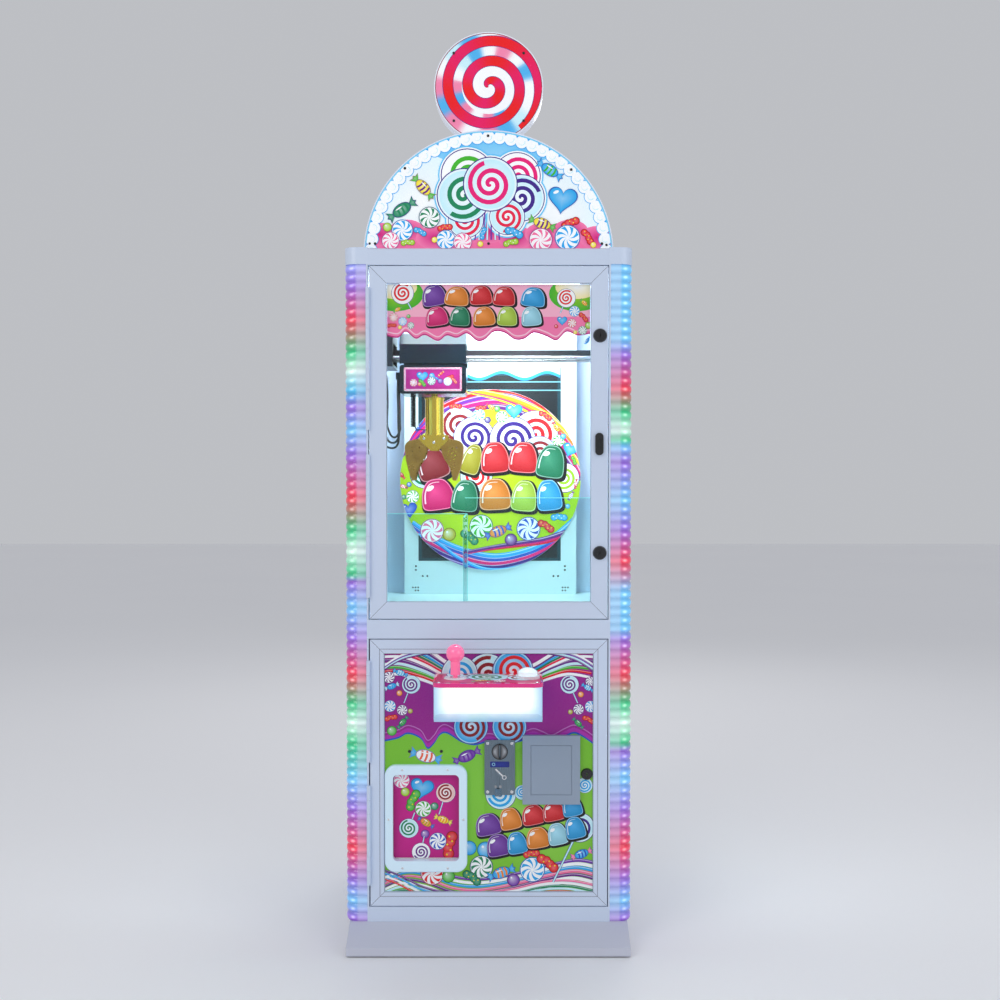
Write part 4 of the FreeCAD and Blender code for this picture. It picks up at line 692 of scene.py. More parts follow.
DOOR_ART = [
    ("lolly", -3, 601, 46, "maroon", "ice"), ("lolly", 54, 609, 44, "crimson", "sky"),
    ("lolly", -64, 603, 39, "sky", "ice"), ("lolly", -39, 485, 37, "maroon", "sky"),
    ("lolly", 46, 485, 37, "maroon", "sky"), ("lolly", -171, 579, 20, "plum", "ice", (-187, 538)),
    ("lolly", 179, 579, 20, "plum", "ice", (197, 538)), ("mint", -220, 595, 12, "plum"),
    ("wrapped", -195, 605, 35, -20, "sky", "ice", "sky"),
    ("wrapped", -214, 575, 35, 20, "sky", "sky", "ice"), ("ball", -197, 560, 6, "amber"),
    ("mint", -218, 531, 12, "sky"), ("mint", -191, 522, 11, "plum"), ("bean", -216, 505, 28, 20, "crimson"),
    ("wrapped", -190, 495, 35, 50, "jade", "leaf", "jade"), ("ball", -173, 520, 5, "olive"),
    ("ball", -214, 476, 10, "leaf"), ("mint", 225, 586, 10, "plum"),
    ("wrapped", 219, 572, 31, -30, "sky", "ice", "sky"), ("ball", 204, 557, 6, "amber"),
    ("mint", 226, 530, 12, "sky"), ("mint", 199, 524, 11, "plum"), ("bean", 221, 501, 28, -20, "crimson"),
    ("wrapped", 198, 493, 33, -45, "jade", "leaf", "jade"), ("ball", 181, 518, 5, "olive"),
    ("wrapped", -139, 420, 73, -15, "white", "coral", "sky"),
    ("wrapped", -48, 420, 65, 25, "violet", "violet", "violet"), ("lolly", 27, 335, 33, "sky", "ice"),
    ("lolly", 74, 339, 16, "sky", "ice"), ("lolly", 202, 261, 32, "navy", "ice", (143, 139)),
    ("lolly", 213, 355, 17, "sky", "ice"), ("ball", -43, 215, 15, "sky"), ("ball", -7, 211, 17, "sky"),
    ("gum", -1, 265, 31, 28, 12, "violet"), ("gum", 48, 278, 26, 28, 12, "amber"),
    ("gum", 99, 287, 28, 26, 12, "crimson"), ("gum", 144, 295, 27, 25, 12, "crimson"),
    ("gum", 185, 306, 24, 26, 12, "sky"), ("gum", 22, 219, 29, 28, 12, "violet"),
    ("gum", 63, 224, 24, 28, 10, "sky"), ("gum", 109, 236, 28, 27, 10, "amber"),
    ("gum", 153, 244, 24, 28, 12, "frost"), ("gum", 192, 258, 24, 28, 12, "sky"),
    ("wrapped", 206, 202, 51, 20, "sky", "cobalt", "pink"), ("mint", -16, 173, 24, "jade"),
    ("bean", -37, 149, 43, -30, "jade"), ("wrapped", 28, 160, 65, 20, "sky", "amber", "sky"),
    ("mint", 97, 167, 26, "sky"), ("bean", 95, 202, 35, 15, "crimson"),
    ("bean", 131, 182, 51, -30, "crimson"), ("ball", 55, 144, 13, "violet"),
    ("mint", -125, 158, 24, "crimson"), ("ball", -89, 152, 13, "leaf"),
]
FLAP_ART = [
    ("mint", -193, 365, 17, "pink"), ("heart", -148, 348, 26, -12, "sky"), ("ball", -185, 339, 9, "lime"),
    ("bean", -168, 320, 47, 72, "leaf"), ("lolly", -95, 337, 21, "maroon", "blush", (-110, 289)),
    ("mint", -145, 301, 17, "leaf"), ("ball", -120, 307, 8, "jade"),
    ("wrapped", -101, 277, 43, -22, "yellow", "amber", "yellow"),
    ("lolly", -177, 258, 21, "jade", "ice", (-164, 293)),
    ("wrapped", -139, 271, 43, -32, "amber", "olive", "cobalt"), ("ball", -141, 245, 9, "violet"),
    ("lolly", -150, 205, 20, "plum", "white", (-143, 240)), ("bean", -86, 220, 59, 85, "crimson"),
    ("mint", -113, 229, 18, "cobalt"),
]
BANNER_ART = [
    ("lolly", -189, 1442, 24, "crimson", "white", (-169, 1406)),
    ("lolly", 171, 1431, 20, "crimson", "white", (158, 1398)), ("gum", -120, 1435, 29, 27, 10, "violet"),
    ("gum", -70, 1433, 29, 24, -4, "amber"), ("gum", -17, 1435, 27, 24, 3, "crimson"),
    ("gum", 34, 1433, 27, 24, -3, "crimson"), ("gum", 98, 1431, 29, 24, -6, "sky"),
    ("gum", -114, 1389, 27, 24, 8, "magenta"), ("gum", -63, 1389, 24, 24, -4, "jade"),
    ("gum", -10, 1389, 27, 24, 4, "amber"), ("gum", 41, 1389, 24, 24, -2, "pear"),
    ("gum", 94, 1389, 24, 24, 5, "frost"), ("mint", -209, 1389, 9, "crimson"),
    ("mint", -189, 1380, 9, "sky"), ("wrapped", -200, 1406, 22, 30, "yellow", "crimson", "leaf"),
    ("ball", -176, 1391, 4, "leaf"), ("bean", -213, 1371, 20, 10, "crimson"),
    ("ball", -195, 1367, 4, "yellow"), ("mint", -171, 1371, 7, "jade"), ("mint", 189, 1402, 11, "sky"),
    ("wrapped", 211, 1420, 24, -40, "yellow", "crimson", "leaf"), ("bean", 209, 1389, 24, -40, "crimson"),
    ("mint", 184, 1376, 9, "crimson"), ("heart", 162, 1382, 11, 0, "sky"), ("ball", 220, 1371, 7, "lime"),
    ("mint", 207, 1360, 9, "jade"), ("wrapped", 218, 1338, 20, 60, "sky", "cobalt", "sky"),
    ("ball", 191, 1356, 4, "yellow"), ("ball", 149, 1369, 4, "crimson"),
]
LABEL_ART = [
    ("mint", -172, 1252, 8, "crimson"), ("ball", -158, 1249, 4, "amber"),
    ("heart", -152, 1267, 13, 0, "sky"), ("bean", -152, 1252, 20, -40, "leaf"),
    ("ball", -130, 1268, 6, "sky"), ("mint", -131, 1256, 9, "jade"),
    ("wrapped", -109, 1273, 17, 40, "crimson", "amber", "yellow"), ("ball", -111, 1256, 6, "violet"),
    ("bean", -90, 1264, 20, 30, "crimson"), ("mint", -94, 1255, 9, "ice"),
    ("bean", -79, 1257, 16, -40, "coral"), ("wrapped", -119, 1262, 14, -30, "sky", "cobalt", "sky"),
]
# Depths in millimetres: the doors' front face, and how far behind it each printed face stands.
TOP = FRONT / MM
DISC_FACE, ARCH_FACE, GLASS_FACE, WALL_FACE, SIGN_FACE = 64, 20, 10, 545, 540
PANEL_FACE, FLAP_FACE, RING_FACE, PLATE_FACE, HOOD_FACE = 4, 8.5, -3, -1, 110
DISC_Z = 1908                       # height of the round lamp's centre
DISC_SCREWS = [(dx, dz) for dx in (-78, 78) for dz in (-75, 75)]
ARCH_Z, ARCH_RADIUS = 1525, 273.0   # centre and radius of the arch


# ------------------------------------------------------------------ topper
def topper_prints():
    """The round lamp's swirl on a cloudy rim, and the arch's sweets under a piped cream edge."""
    art = Artwork()
    cx, cz, r = 0, DISC_Z, 119.4
    rim = ["white", "sky", "white", "pink", "white", "sky", "ice", "white",
           "pink", "sky", "pink", "white", "pink", "sky", "ice", "white"]
    outline = oval(cx, cz, r, r, 0, 96)
    inks = []
    for i in range(97):
        t = (i / 96 * 16) % 16
        a, b = rim[int(t) % 16], rim[(int(t) + 1) % 16]
        k = min(1.0, max(0.0, (t - int(t) - 0.3) / 0.4))
        inks.append(paler(blend_ink(INKS[a], INKS[b], k), 0.12))
    art.disc(cx, cz, r, INKS["white"])
    art.band(outline + outline[:1], [(cx, cz)] * 97, inks)
    art.disc(cx, cz, 60, INKS["white"])
    for extra, ink in ((2.4, "navy"), (0.0, None)):
        outer, inner, paint = [], [], []
        for i in range(221):
            t = i / 220 * 2.83
            a = 4.3 - t * math.tau
            mid = 44.4 * t - 6
            wide = min(11.0, 2.0 + 14 * t) + extra / 2
            for line, reach in ((outer, min(mid + wide, r)), (inner, min(max(mid - wide, 0), r))):
                line.append((cx + reach * math.cos(a), cz + reach * math.sin(a)))
            shade = 0.5 + 0.5 * math.sin(3.0 * a + 0.8)
            paint.append(INKS[ink] if ink else blend_ink((0.86, 0.0, 0.01), (0.83, 0.0, 0.20), shade))
        art.band(outer, inner, paint)
    art.stroke(oval(cx, cz, r - 0.7, r - 0.7, 0, 96), 1.6, INKS["maroon"])
    for dx, dz in DISC_SCREWS:
        art.disc(cx + dx, cz + dz, 2.6, INKS["black"], count=12)
    art.make("disc_print", "cabinet", (TOP + DISC_FACE - 0.2) * MM, oval(cx, cz, r, r, 0, 72), INK_LIT)

    art = Artwork()
    base, radius = ARCH_Z, ARCH_RADIUS
    art.patch(rectangle(-280, 280, 1530, 1805), (0.10, 0.55, 0.85), (0.10, 0.55, 0.85))
    art.patch(oval(0, 1600, 262, 200, 0, 60), (0.16, 0.60, 0.90), (0.97, 0.99, 1.0), (0, 1590))
    art.patch(oval(-150, 1640, 105, 110, 0, 40), (0.80, 0.93, 0.98), INKS["white"])
    art.patch(oval(150, 1620, 105, 120, 0, 40), (0.80, 0.93, 0.98), INKS["white"])
    art.band([(-280, 1575), (280, 1575)], [(-280, 1530), (280, 1530)], [(0.92, 0.25, 0.48)] * 2)
    for k in range(9):
        cloud = oval(-240 + k * 60, 1572 + 8 * math.sin(k * 2.1), 40, 26, 0, 24)
        art.patch(cloud, (0.92, 0.30, 0.52), INKS["rose"])
    count = 33
    for side, ink in ((1.10, "sky"), (1.0, "white")):
        for k in range(count):
            a = math.pi * (k + 0.5) / count
            x, z = (radius - 13) * math.cos(a), base + (radius - 13) * math.sin(a)
            art.patch(oval(x, z, 14 * side, 13.5 * side, math.degrees(a), 22), INKS[ink])
            if ink == "white":
                turns = [a + 2.2 + 0.5 * i for i in range(7)]
                curl = [(x + 7 * math.cos(t), z + 7 * math.sin(t)) for t in turns]
                art.stroke(curl, (0.6, 2.0), INKS["ice"])
    art.stroke(half_ring(base, radius, 60), 5, (0.25, 0.68, 0.90))
    for extra, ink in ((8, (0.20, 0.62, 0.88)), (5, INKS["white"])):
        for kind, x, z, r, *rest in ARCH_ART:
            if kind == "lolly":
                art.disc(x, z, r + extra, ink)
    for k in range(7):
        art.stroke([(-22 + 7 * k, 1620), (-30 + 9 * k, 1560)], 3.0, INKS["ice" if k % 2 else "violet"])
    art.draw(ARCH_ART)
    for x, z in ((-1, 1788), (-184, 1717), (182, 1714), (-262, 1552), (260, 1549), (0, 1552)):
        art.disc(x, z, 2.8, INKS["black"], count=12)
    foot = 1541.6
    keep = [p for p in half_ring(base, radius, 64) if p[1] > foot]
    keep = [(keep[0][0], foot)] + keep + [(keep[-1][0], foot)]
    art.make("arch_print", "cabinet", (TOP + ARCH_FACE - 0.2) * MM, keep, INK_LIT)


# ------------------------------------------------------------------ upper door
def banner_print():
    """Pink syrup that drips down the top of the door glass, with sweets along it."""
    art = Artwork()
    edge = [(-226, 1352), (-200, 1347), (-182, 1360), (-160, 1345), (-140, 1353), (-112, 1340), (-92, 1352),
            (-70, 1347), (-48, 1356), (-25, 1340), (-8, 1343), (12, 1360), (35, 1358), (58, 1343), (80, 1345),
            (100, 1358), (128, 1350), (150, 1341), (172, 1360), (196, 1352), (226, 1356)]
    drip = smooth_line(edge, 6)
    top = [(x, 1466) for x, z in drip]
    art.band(top, [(x, z - 3) for x, z in drip], [(0.65, 0.02, 0.30)] * len(drip))
    art.band(top, drip, [(0.93, 0.30, 0.52)] * len(drip))
    art.band(top, [(x, 1390) for x, z in drip], [(0.96, 0.55, 0.68)] * len(drip))
    art.stroke([(x, z + 6) for x, z in drip], 2.5, (0.98, 0.70, 0.80))
    for x in (-205, 195):
        art.patch(oval(x, 1440, 62, 38, 0, 30), INKS["leaf"], INKS["lime"])
        art.patch(oval(x, 1455, 48, 26, 0, 30), (0.95, 0.85, 0.5), INKS["white"])
    art.draw(BANNER_ART)
    art.make("banner_print", "upper_door", (TOP + GLASS_FACE - 0.1) * MM, rectangle(-223, 223.6, 1330, 1461),
             INK_PLAIN)


def frame_lines():
    """Mitred corners and inner edges of the two door frames as fine dark seams. The pressed line on the lower
    frame is a dark line of painted shade beside a pale line of painted highlight.
    """
    seam_and_painted_fold_shade = (0.13, 0.14, 0.20)
    pale = (0.72, 0.76, 0.88)
    for name, body, x0, x1, z0, z1, width, step in (
            ("upper_seams", "upper_door", -261.7, 262.5, 725, 1500, 38, 0),
            ("lower_seams", "lower_door", -261.7, 262.5, 87, 679, 31.5, 21)):
        art = Artwork()
        for cx, cz, sx, sz in ((x0, z0, 1, 1), (x1, z0, -1, 1), (x0, z1, 1, -1), (x1, z1, -1, -1)):
            mitre = [(cx + sx * reach, cz + sz * reach) for reach in (1, width - 0.5)]
            art.stroke(mitre, 0.7, seam_and_painted_fold_shade)
        # The line at step is painted shade of the pressed fold, and the pale line beside it is a painted
        # highlight.
        edges = [(width - 0.4, 0.7, seam_and_painted_fold_shade)] + ([(step, 0.8, seam_and_painted_fold_shade), (step + 1.6, 1.2, pale)] if step else [])
        for inset, line, ink in edges:
            ring = rectangle(x0 + inset, x1 - inset, z0 + inset, z1 - inset)
            for i in range(4):
                art.stroke([ring[i], ring[(i + 1) % 4]], line, ink)
        art.make(name, body, TOP * MM, rectangle(x0, x1, z0, z1), INK_PLAIN)


# ------------------------------------------------------------------ play area
def interior_prints():
    """The dark window with a wavy pelmet on the inner back wall, and the round sweet-shop sign."""
    art = Artwork()
    art.patch(rectangle(-189, 185, 814, 1322), INKS["teal"], (0.0, 0.16, 0.20))
    art.patch(rectangle(-180, 176, 822, 1300), (0.0, 0.022, 0.035), (0.0, 0.05, 0.065))
    wave = [(x, 1296 + 9 * math.sin(x / 19.0)) for x in range(-189, 186, 4)]
    art.band([(x, 1322) for x, z in wave], wave, (0.05, 0.45, 0.75))
    art.band([(x, 1322) for x, z in wave], [(x, z + 8) for x, z in wave], (0.80, 0.93, 0.98))
    for z in (1262, 1284):
        art.stroke([(-189, z), (185, z)], 3, (0.30, 0.60, 0.65))
    for sx in (-1, 1):
        for dx, dz in ((0, 0), (0, 10), (-18, 26), (-30, 26)):
            art.disc(sx * (196 + dx), 800 - dz, 2.6, INKS["black"], count=10)
    for sx in (-1, 1):
        for k in range(5):
            art.disc(sx * (190 + 7 * (k % 3)), 744 - 8 * (k // 3), 2.2, INKS["black"], count=10)
    art.make("back_window", "cabinet", (TOP + WALL_FACE - 0.2) * MM, rectangle(-226, 226, 727, 1480),
             INK_PLAIN)

    art = Artwork()
    art.patch(oval(0, 1027, 238, 238, 0, 72), (0.45, 0.68, 0.01), (0.66, 0.78, 0.02), (0, 960))
    art.patch(oval(10, 1150, 225, 120, 0, 48), (0.62, 0.78, 0.03), (0.96, 0.86, 0.05), (20, 1180))
    upper = [(-240, 1100), (-170, 1190), (-70, 1245), (40, 1262), (130, 1225), (215, 1130), (250, 1070)]
    art.ribbons(upper, (14, 15), ["plum", "magenta", "violet", "crimson", "plum", "magenta", "ice"], 16)
    art.ribbons([(-60, 1262), (40, 1240), (120, 1205), (190, 1150), (245, 1080)], (2, 10),
                ["yellow", "magenta", "amber", "gold"], 12)
    lower = [(-215, 885), (-160, 848), (-90, 815), (0, 795), (90, 812), (160, 848), (225, 905)]
    art.ribbons(lower, (9, 10), ["gold", "navy", "plum", "violet", "navy", "magenta", "cobalt", "sky"], 13)
    art.ribbons([(-70, 835), (0, 848), (70, 858), (140, 868), (210, 890)], (1, 6),
                ["crimson", "magenta", "plum"], 11)
    art.ribbons([(-225, 892), (-150, 868), (-80, 820), (0, 790), (100, 806), (190, 860), (230, 905)], (3, 3),
                ["cobalt", "sky"], 9)
    art.draw(WALL_ART)
    art.make("sign_print", "cabinet", (TOP + SIGN_FACE - 0.2) * MM, oval(0, 1027, 236.6, 236.6, 0, 72),
             INK_LIT)


# ------------------------------------------------------------------ lower door
def door_print():
    """Purple and green panel with twisted sugar ribbons above and below."""
    art = Artwork()
    art.patch(rectangle(-232, 232, 112, 652), INKS["meadow"], (0.33, 0.68, 0.10))
    art.patch(oval(120, 300, 130, 150, 0, 40), (0.29, 0.63, 0.07), (0.42, 0.74, 0.16))
    edge = [(-232, 456), (-200, 463), (-178, 473), (-150, 462), (-135, 440), (-120, 452), (-108, 470),
            (-92, 474), (-60, 455), (-30, 448), (0, 455), (30, 450), (70, 456), (98, 466), (118, 460),
            (140, 452), (168, 466), (190, 474), (212, 464), (232, 450)]
    drip = smooth_line(edge, 6)
    top = [(x, 655) for x, z in drip]
    art.band(top, [(x, z - 4) for x, z in drip], INKS["cobalt"])
    art.band(top, drip, [(0.52, 0.05, 0.50)] * len(drip))
    art.band(top, [(x, z + 9) for x, z in drip], [(0.42, 0.025, 0.36)] * len(drip))
    art.stroke([(x, z + 15) for x, z in drip], 2.2, (0.60, 0.25, 0.60))
    bright = ["white", "crimson", "leaf", "ice", "plum", "white", "red", "jade", "sky", "plum", "white"]
    for side in (-1, 1):
        sweep = [(side * 240, 640), (side * 190, 640), (side * 140, 622), (side * 95, 600), (side * 60, 592)]
        art.ribbons(sweep, (9, 3.4), bright, 7.5)
        art.ribbons([(side * 240, 610), (side * 190, 640), (side * 120, 655), (side * 60, 660)], (4, 3),
                    ["plum", "ice", "violet", "white"], 5)
    art.ribbons([(-240, 128), (-190, 148), (-140, 143), (-80, 122), (-20, 118), (60, 132), (130, 150),
                 (190, 160), (240, 150)], (8, 8),
                ["jade", "ice", "white", "plum", "pink", "sky", "white", "violet"], 7)
    art.ribbons([(-240, 158), (-200, 145), (-150, 120), (-100, 108), (-30, 104)], (6, 6),
                ["crimson", "white", "sky", "plum"], 5)
    art.ribbons([(-20, 104), (50, 112), (120, 128), (180, 130), (240, 118)], (6, 6),
                ["crimson", "ice", "jade", "white", "pink"], 5)
    art.draw(DOOR_ART)
    art.make("door_print", "lower_door", (TOP + PANEL_FACE - 0.1) * MM, rectangle(-229.5, 230.6, 119, 647),
             INK_PLAIN, holes=((-211, -65, 190, 381), (-8, 57, 345, 446), (-58, 58, 538, 572)))

    art = Artwork()
    art.patch(rectangle(-215, -61, 186, 386), (0.60, 0.008, 0.30), (0.70, 0.015, 0.40))
    art.draw(FLAP_ART)
    art.band([(-215, 192), (-61, 192)], [(-215, 186), (-61, 186)], INKS["white"])
    art.make("flap_print", "flap", (TOP + FLAP_FACE - 0.1) * MM, rounded(-211, -65, 190, 381, 9), INK_PLAIN)


def deck_print():
    """Rings and sweets under the clear top of the control box."""
    art = Artwork()
    art.patch(rectangle(-113, 113, -96, 30), (0.72, 0.005, 0.20), (0.85, 0.02, 0.30))
    for x, z, r, dark in ((-35, 20, 56, "maroon"), (38, 25, 58, "crimson"), (0, -15, 44, "jade"),
                          (75, -25, 34, "maroon")):
        art.lolly(x, z, r, dark, "ice")
    art.wrapped(-15, -62, 46, 20, "yellow", "crimson", "leaf")
    art.mint(25, -66, 13, "crimson")
    obj = art.make("deck_print", "lower_door", 0.0, rounded(-112, 112, -88, 29, 8), INK_PLAIN)
    lay_flat = Matrix.Rotation(-math.pi / 2, 4, "X")
    obj.data.transform(Matrix.Translation((0, (TOP - 35) * MM, 0.6041)) @ lay_flat)


def label_print():
    """Bright label with a twisted border on the front of the claw's housing."""
    art = Artwork()
    art.patch(rounded(-194, -62, 1233, 1287, 3), INKS["white"])
    for k in range(44):
        u = -192 + k * 3.05
        for z in (1285.2, 1235.2):
            art.stroke([(u, z - 1.6), (u + 2.0, z + 1.6)], 1.3, INKS["magenta"])
    for k in range(17):
        v = 1236 + k * 3.0
        for x in (-192.2, -63.8):
            art.stroke([(x - 1.6, v), (x + 1.6, v + 2.0)], 1.3, INKS["magenta"])
    art.patch(rectangle(-190, -66, 1237.5, 1283), (0.55, 0.02, 0.32), (0.72, 0.04, 0.45))
    art.draw(LABEL_ART)
    art.make("label_print", "carriage", (TOP + HOOD_FACE - 0.1) * MM, rounded(-195, -61, 1232, 1288, 3),
             INK_PLAIN)


topper_prints()
banner_print()
frame_lines()
interior_prints()
door_print()
deck_print()
label_print()


# ------------------------------------------------------------------ small solid details
def join(objs, name):
    """Several objects become one, with its place in its mesh."""
    bpy.ops.object.select_all(action="DESELECT")
    for obj in objs:
        obj.select_set(True)
    bpy.context.view_layer.objects.active = objs[0]
    bpy.ops.object.join()
    bpy.ops.object.transform_apply(location=True, rotation=True, scale=True)
    objs[0].name = objs[0].data.name = name
    return objs[0]


def dress(obj, name, body, finish, angle=40):
    """Names a finished piece, smooths it, paints it and lets it move with its body."""
    bpy.ops.object.select_all(action="DESELECT")
    obj.select_set(True)
    bpy.context.view_layer.objects.active = obj
    bpy.ops.object.transform_apply(location=True, rotation=True, scale=True)
    bpy.ops.object.shade_smooth_by_angle(angle=math.radians(angle))
    obj.name = obj.data.name = name
    obj.data.materials.clear()
    obj.data.materials.append(FINISHES[finish])
    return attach(obj, body)


def studs(name, body, places, radius, height, finish, facing=(0, -1, 0)):
    """Domed screw heads with a cross recess. facing points away from the face they sit on."""
    turn = Vector(facing).to_track_quat("Z", "X").to_euler()
    heads = []
    for x, y, z in places:
        at = Vector((x * MM, y * MM, z * MM))
        bpy.ops.mesh.primitive_cylinder_add(vertices=20, radius=radius * MM, depth=height * 0.4 * MM,
                                            location=at + Vector(facing) * height * 0.2 * MM, rotation=turn)
        heads.append(bpy.context.object)
        bpy.ops.mesh.primitive_uv_sphere_add(segments=20, ring_count=8, radius=radius * MM, rotation=turn,
                                             location=at + Vector(facing) * height * 0.4 * MM)
        dome = bpy.context.object
        dome.scale = (1.0, 1.0, 0.6 * height / radius)
        heads.append(dome)
        for spin in (0, 1):
            crown = at + Vector(facing) * height * 0.93 * MM
            bpy.ops.mesh.primitive_cube_add(size=1.0, rotation=turn, location=crown)
            bar = bpy.context.object
            long, thin = radius * 1.1 * MM, radius * 0.2 * MM
            bar.scale = (long if spin else thin, thin if spin else long, height * 0.16 * MM)
            heads.append(bar)
    return dress(join(heads, name), name, body, finish)


def fixings():
    """Screws of the topper, prize door frame, door panel, control deck, claw head and outer panels."""
    y = TOP + ARCH_FACE - 1.2
    places = [(-1, 1788), (-184, 1717), (182, 1714), (-250, 1552), (250, 1552), (0, 1552)]
    studs("arch_screws", "cabinet", [(x, y, z) for x, z in places], 3.0, 1.6, "black")
    y = TOP + DISC_FACE - 0.8
    studs("disc_screws", "cabinet", [(dx, y, DISC_Z + dz) for dx, dz in DISC_SCREWS], 3.0, 1.6, "black")
    y = TOP + PANEL_FACE - 14
    places = [(-190, 392), (-90, 392), (-220.5, 282), (-55.5, 282), (-190, 174), (-90, 174)]
    studs("prize_frame_screws", "lower_door", [(x, y, z) for x, z in places], 2.6, 1.2, "chrome")
    y = TOP + PANEL_FACE - 0.5
    studs("panel_screws", "lower_door", [(-175, y, 430.5), (-104.5, y, 430.5)], 3.4, 1.8, "black")
    places = [(-104, -122), (0, -124), (104, -122), (-104, -8), (104, -8)]
    studs("deck_screws", "lower_door", [(x, TOP + v, 604) for x, v in places], 3.6, 2.0, "chrome", (0, 0, 1))
    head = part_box("claw_head")[0][1] / MM + 0.6
    places = [(-151, 1126), (-105, 1126), (-128, 1117)]
    studs("claw_screws", "claw", [(x, head, z) for x, z in places], 3.0, 1.4, "chrome")
    rows = [90 + 141 * k for k in range(11)]
    places = [(x, TOP + 600, z) for x in (-290, 290) for z in rows]
    studs("rear_screws", "cabinet", places, 3.2, 1.5, "chrome", (0, 1, 0))
    for side, name in ((-1, "left_side_screws"), (1, "right_side_screws")):
        places = [(side * 300, TOP + v, z) for v in (66, 588) for z in rows]
        studs(name, "cabinet", places, 3.2, 1.5, "chrome", (side, 0, 0))


def coin_entry():
    """Printed label, the bright ring round the slot, whose shine is a painted sheen, and the four screws of
    the coin plate.
    """
    art = Artwork()
    cx, cz = 24.75, 431
    art.disc(cx, cz, 17.9, (0.02, 0.02, 0.02))
    slot_half = 1.7
    right = [p for p in oval(cx, cz, 16.6, 16.6, 0, 48) if p[0] > cx + slot_half]
    left = [p for p in oval(cx, cz, 16.6, 16.6, 0, 48) if p[0] < cx - slot_half]
    # Each silver half runs from dark at its rim to light in its middle: a painted sheen of the chrome ring.
    for part in (sorted(right, key=lambda p: p[1]), sorted(left, key=lambda p: -p[1])):
        art.patch(part, (0.10, 0.10, 0.11), (0.55, 0.56, 0.58))
    art.make("coin_ring", "lower_door", (TOP + RING_FACE - 0.05) * MM, rectangle(5, 45, 410, 452), INK_PLAIN,
             holes=((23.05, 26.45, 417, 445),))
    art = Artwork()
    art.patch(rounded(3.5, 46, 396, 409, 2), (0.03, 0.05, 0.30), (0.04, 0.08, 0.42))
    art.disc(11, 402.5, 3.6, INKS["frost"])
    art.disc(11, 402.5, 2.4, (0.03, 0.05, 0.30))
    art.patch(rounded(19, 24, 347.5, 376, 1.5), INKS["black"])
    art.patch(rectangle(13, 29, 350, 356), (0.35, 0.36, 0.38), (0.6, 0.61, 0.63))
    art.make("coin_label", "lower_door", (TOP + PLATE_FACE - 0.05) * MM, rectangle(-4, 54, 340, 410),
             INK_PLAIN, holes=((17.75, 23.75, 347, 377),))
    places = [(x, TOP - 2.2, z) for x in (-2, 51.5) for z in (341.5, 449.5)]
    studs("coin_screws", "lower_door", places, 3.4, 1.2, "chrome")


def tube_along(name, points, radius):
    """A round tube whose centreline runs through the points, in metres."""
    line = bpy.data.curves.new(name, "CURVE")
    line.dimensions = "3D"
    line.bevel_depth, line.bevel_resolution = radius, 2
    line.use_fill_caps = True
    run = line.splines.new("POLY")
    run.points.add(len(points) - 1)
    for knot, p in zip(run.points, points):
        knot.co = (*p, 1.0)
    obj = bpy.data.objects.new(name, line)
    bpy.context.scene.collection.objects.link(obj)
    bpy.ops.object.select_all(action="DESELECT")
    obj.select_set(True)
    bpy.context.view_layer.objects.active = obj
    bpy.ops.object.convert(target="MESH")
    bpy.ops.object.shade_smooth()
    tube = bpy.context.object
    tube.data.materials.append(FINISHES["cable"])
    return tube


def cables():
    """Dark cables that hang in a loop beside the claw's housing, and the curly cord to the claw."""
    y0 = TOP + 185
    route = [(-241, 1290), (-241.6, 1246), (-240.6, 1202), (-241.8, 1164), (-240.0, 1137), (-231.6, 1119),
             (-217, 1117), (-208.2, 1133), (-208.6, 1162), (-209.0, 1198), (-209.9, 1232), (-209.5, 1262)]
    for k, (offset, out, lower) in enumerate(((-38.0, 0, 0), (-32.4, 1, 12), (-26.8, -1, -13))):
        nested = [(x - 5.0 * out * (z < 1280) * (1 if i < 6 else 0.3), z - lower * (z < 1140))
                  for i, (x, z) in enumerate(route)]
        points = [(x * MM, (y0 + offset) * MM, z * MM) for x, z in smooth_line(nested, 8)]
        tube = tube_along("loop_cable_%d" % (k + 1), points, 2.5 * MM)
        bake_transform(tube)
        if k == 0:
            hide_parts("loop_cables")

    x, top, low, turns, coil = -178.0, 1227.0, 1154.0, 20, 5.4
    points = []
    for i in range(turns * 18 + 1):
        t = i / (turns * 18)
        a = t * turns * math.tau
        points.append((x + coil * math.cos(a), y0 + coil * math.sin(a), top - (top - low) * t))
    tail = [(x + coil, y0, low), (x + 5.6, y0, 1151.5), (x + 7.0, y0, 1148.8), (x + 10.0, y0, 1147.2),
            (x + 18, y0, 1147), (-150.2, y0, 1147)]
    points = [tuple(v * MM for v in p) for p in points + smooth_line(tail, 5)[1:]]
    cord = tube_along("curly_cord", points, 1.35 * MM)
    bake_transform(cord)
    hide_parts("claw_cord")


def acrylic_edges():
    """Sawn edges of the clear sheets, which glow blue-green with painted light."""
    strips = []
    y = TOP + 48
    for x0, x1, y0, y1, z0, z1 in (
            (-53, 264, y - 2, y + 2, 990.1, 991.3), (-57, -53, TOP + 46, TOP + 266, 947.1, 948.3),
            (-262, -57, TOP + 262, TOP + 266, 947.1, 948.3), (-57.6, -57.1, TOP + 46, TOP + 50, 727, 947),
            (-52.9, -52.4, TOP + 262, TOP + 266, 727, 947)):
        middle = ((x0 + x1) / 2 * MM, (y0 + y1) / 2 * MM, (z0 + z1) / 2 * MM)
        bpy.ops.mesh.primitive_cube_add(size=1.0, location=middle)
        bpy.context.object.scale = ((x1 - x0) * MM, (y1 - y0) * MM, (z1 - z0) * MM)
        strips.append(bpy.context.object)
    dress(join(strips, "acrylic_edges"), "acrylic_edges", "cabinet", "edge")


fixings()
coin_entry()
cables()
acrylic_edges()


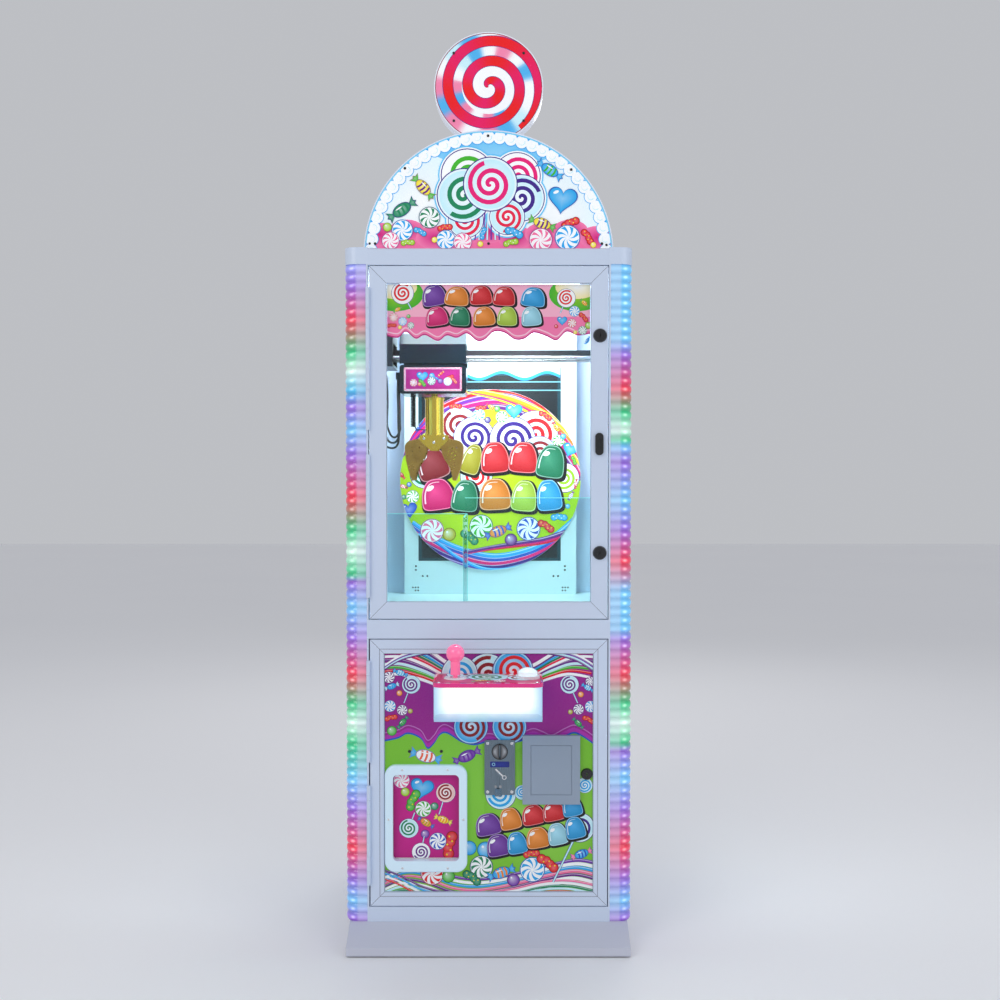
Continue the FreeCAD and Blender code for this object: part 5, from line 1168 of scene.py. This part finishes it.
# ------------------------------------------------------------------ room, light and camera
def studio():
    """Pale floor, soft window lights, the lamp inside the play area and the camera."""
    bpy.ops.mesh.primitive_plane_add(size=24.0, location=(0, 3.0, 0))
    floor = bpy.context.object
    floor.name = "studio_floor"
    s = Shader("studio_floor")
    cloud = s.noise(0.6, 2.0)
    tint = s.mix(s.spread(cloud.outputs[0], 0.0, 0.4), rgb((0.93, 0.93, 0.95)), rgb((0.89, 0.89, 0.92)))
    floor.data.materials.append(s.surface(Base_Color=tint, Roughness=0.55))

    world = bpy.data.worlds.new("studio")
    world.use_nodes = True
    world.node_tree.nodes["Background"].inputs[0].default_value = (0.93, 0.95, 1.0, 1.0)
    world.node_tree.nodes["Background"].inputs[1].default_value = 0.55
    bpy.context.scene.world = world

    for name, place, aim, size, power, colour in (
            ("key", (-2.2, -3.2, 3.0), (0, 0, 1.1), 2.2, 34, (1.0, 0.98, 0.96)),
            ("fill", (2.6, -2.8, 1.8), (0, 0, 0.9), 2.4, 20, (0.94, 0.96, 1.0)),
            ("back", (0.5, 3.2, 3.2), (0, 0, 1.2), 2.0, 26, (1.0, 1.0, 1.0)),
            ("play_area", (0.0, -0.02, 1.512), (0.0, -0.02, 0.7), 0.42, 5, (0.86, 0.98, 1.0)),
            ("play_front", (0.05, -0.15, 1.44), (0.05, 0.30, 0.9), 0.18, 2.0, (0.95, 1.0, 1.0))):
        lamp = bpy.data.lights.new(name, "AREA")
        lamp.energy, lamp.color, lamp.size = power, colour, size
        obj = bpy.data.objects.new(name, lamp)
        obj.location = place
        obj.rotation_euler = (Vector(aim) - Vector(place)).to_track_quat("-Z", "Y").to_euler()
        bpy.context.scene.collection.objects.link(obj)

    eye_height, eye_aside, distance, tilt = 1.053, 0.0253, 2.8, 1.35
    lens = bpy.data.cameras.new("camera")
    lens.lens, lens.sensor_width, lens.clip_end = 45.83, 36.0, 60.0
    camera = bpy.data.objects.new("camera", lens)
    camera.location = (eye_aside, FRONT - distance, eye_height)
    camera.rotation_euler = (math.radians(90.0 - tilt), 0, 0)
    bpy.context.scene.collection.objects.link(camera)
    bpy.context.scene.camera = camera
    bpy.context.scene.view_settings.view_transform = "Standard"


studio()
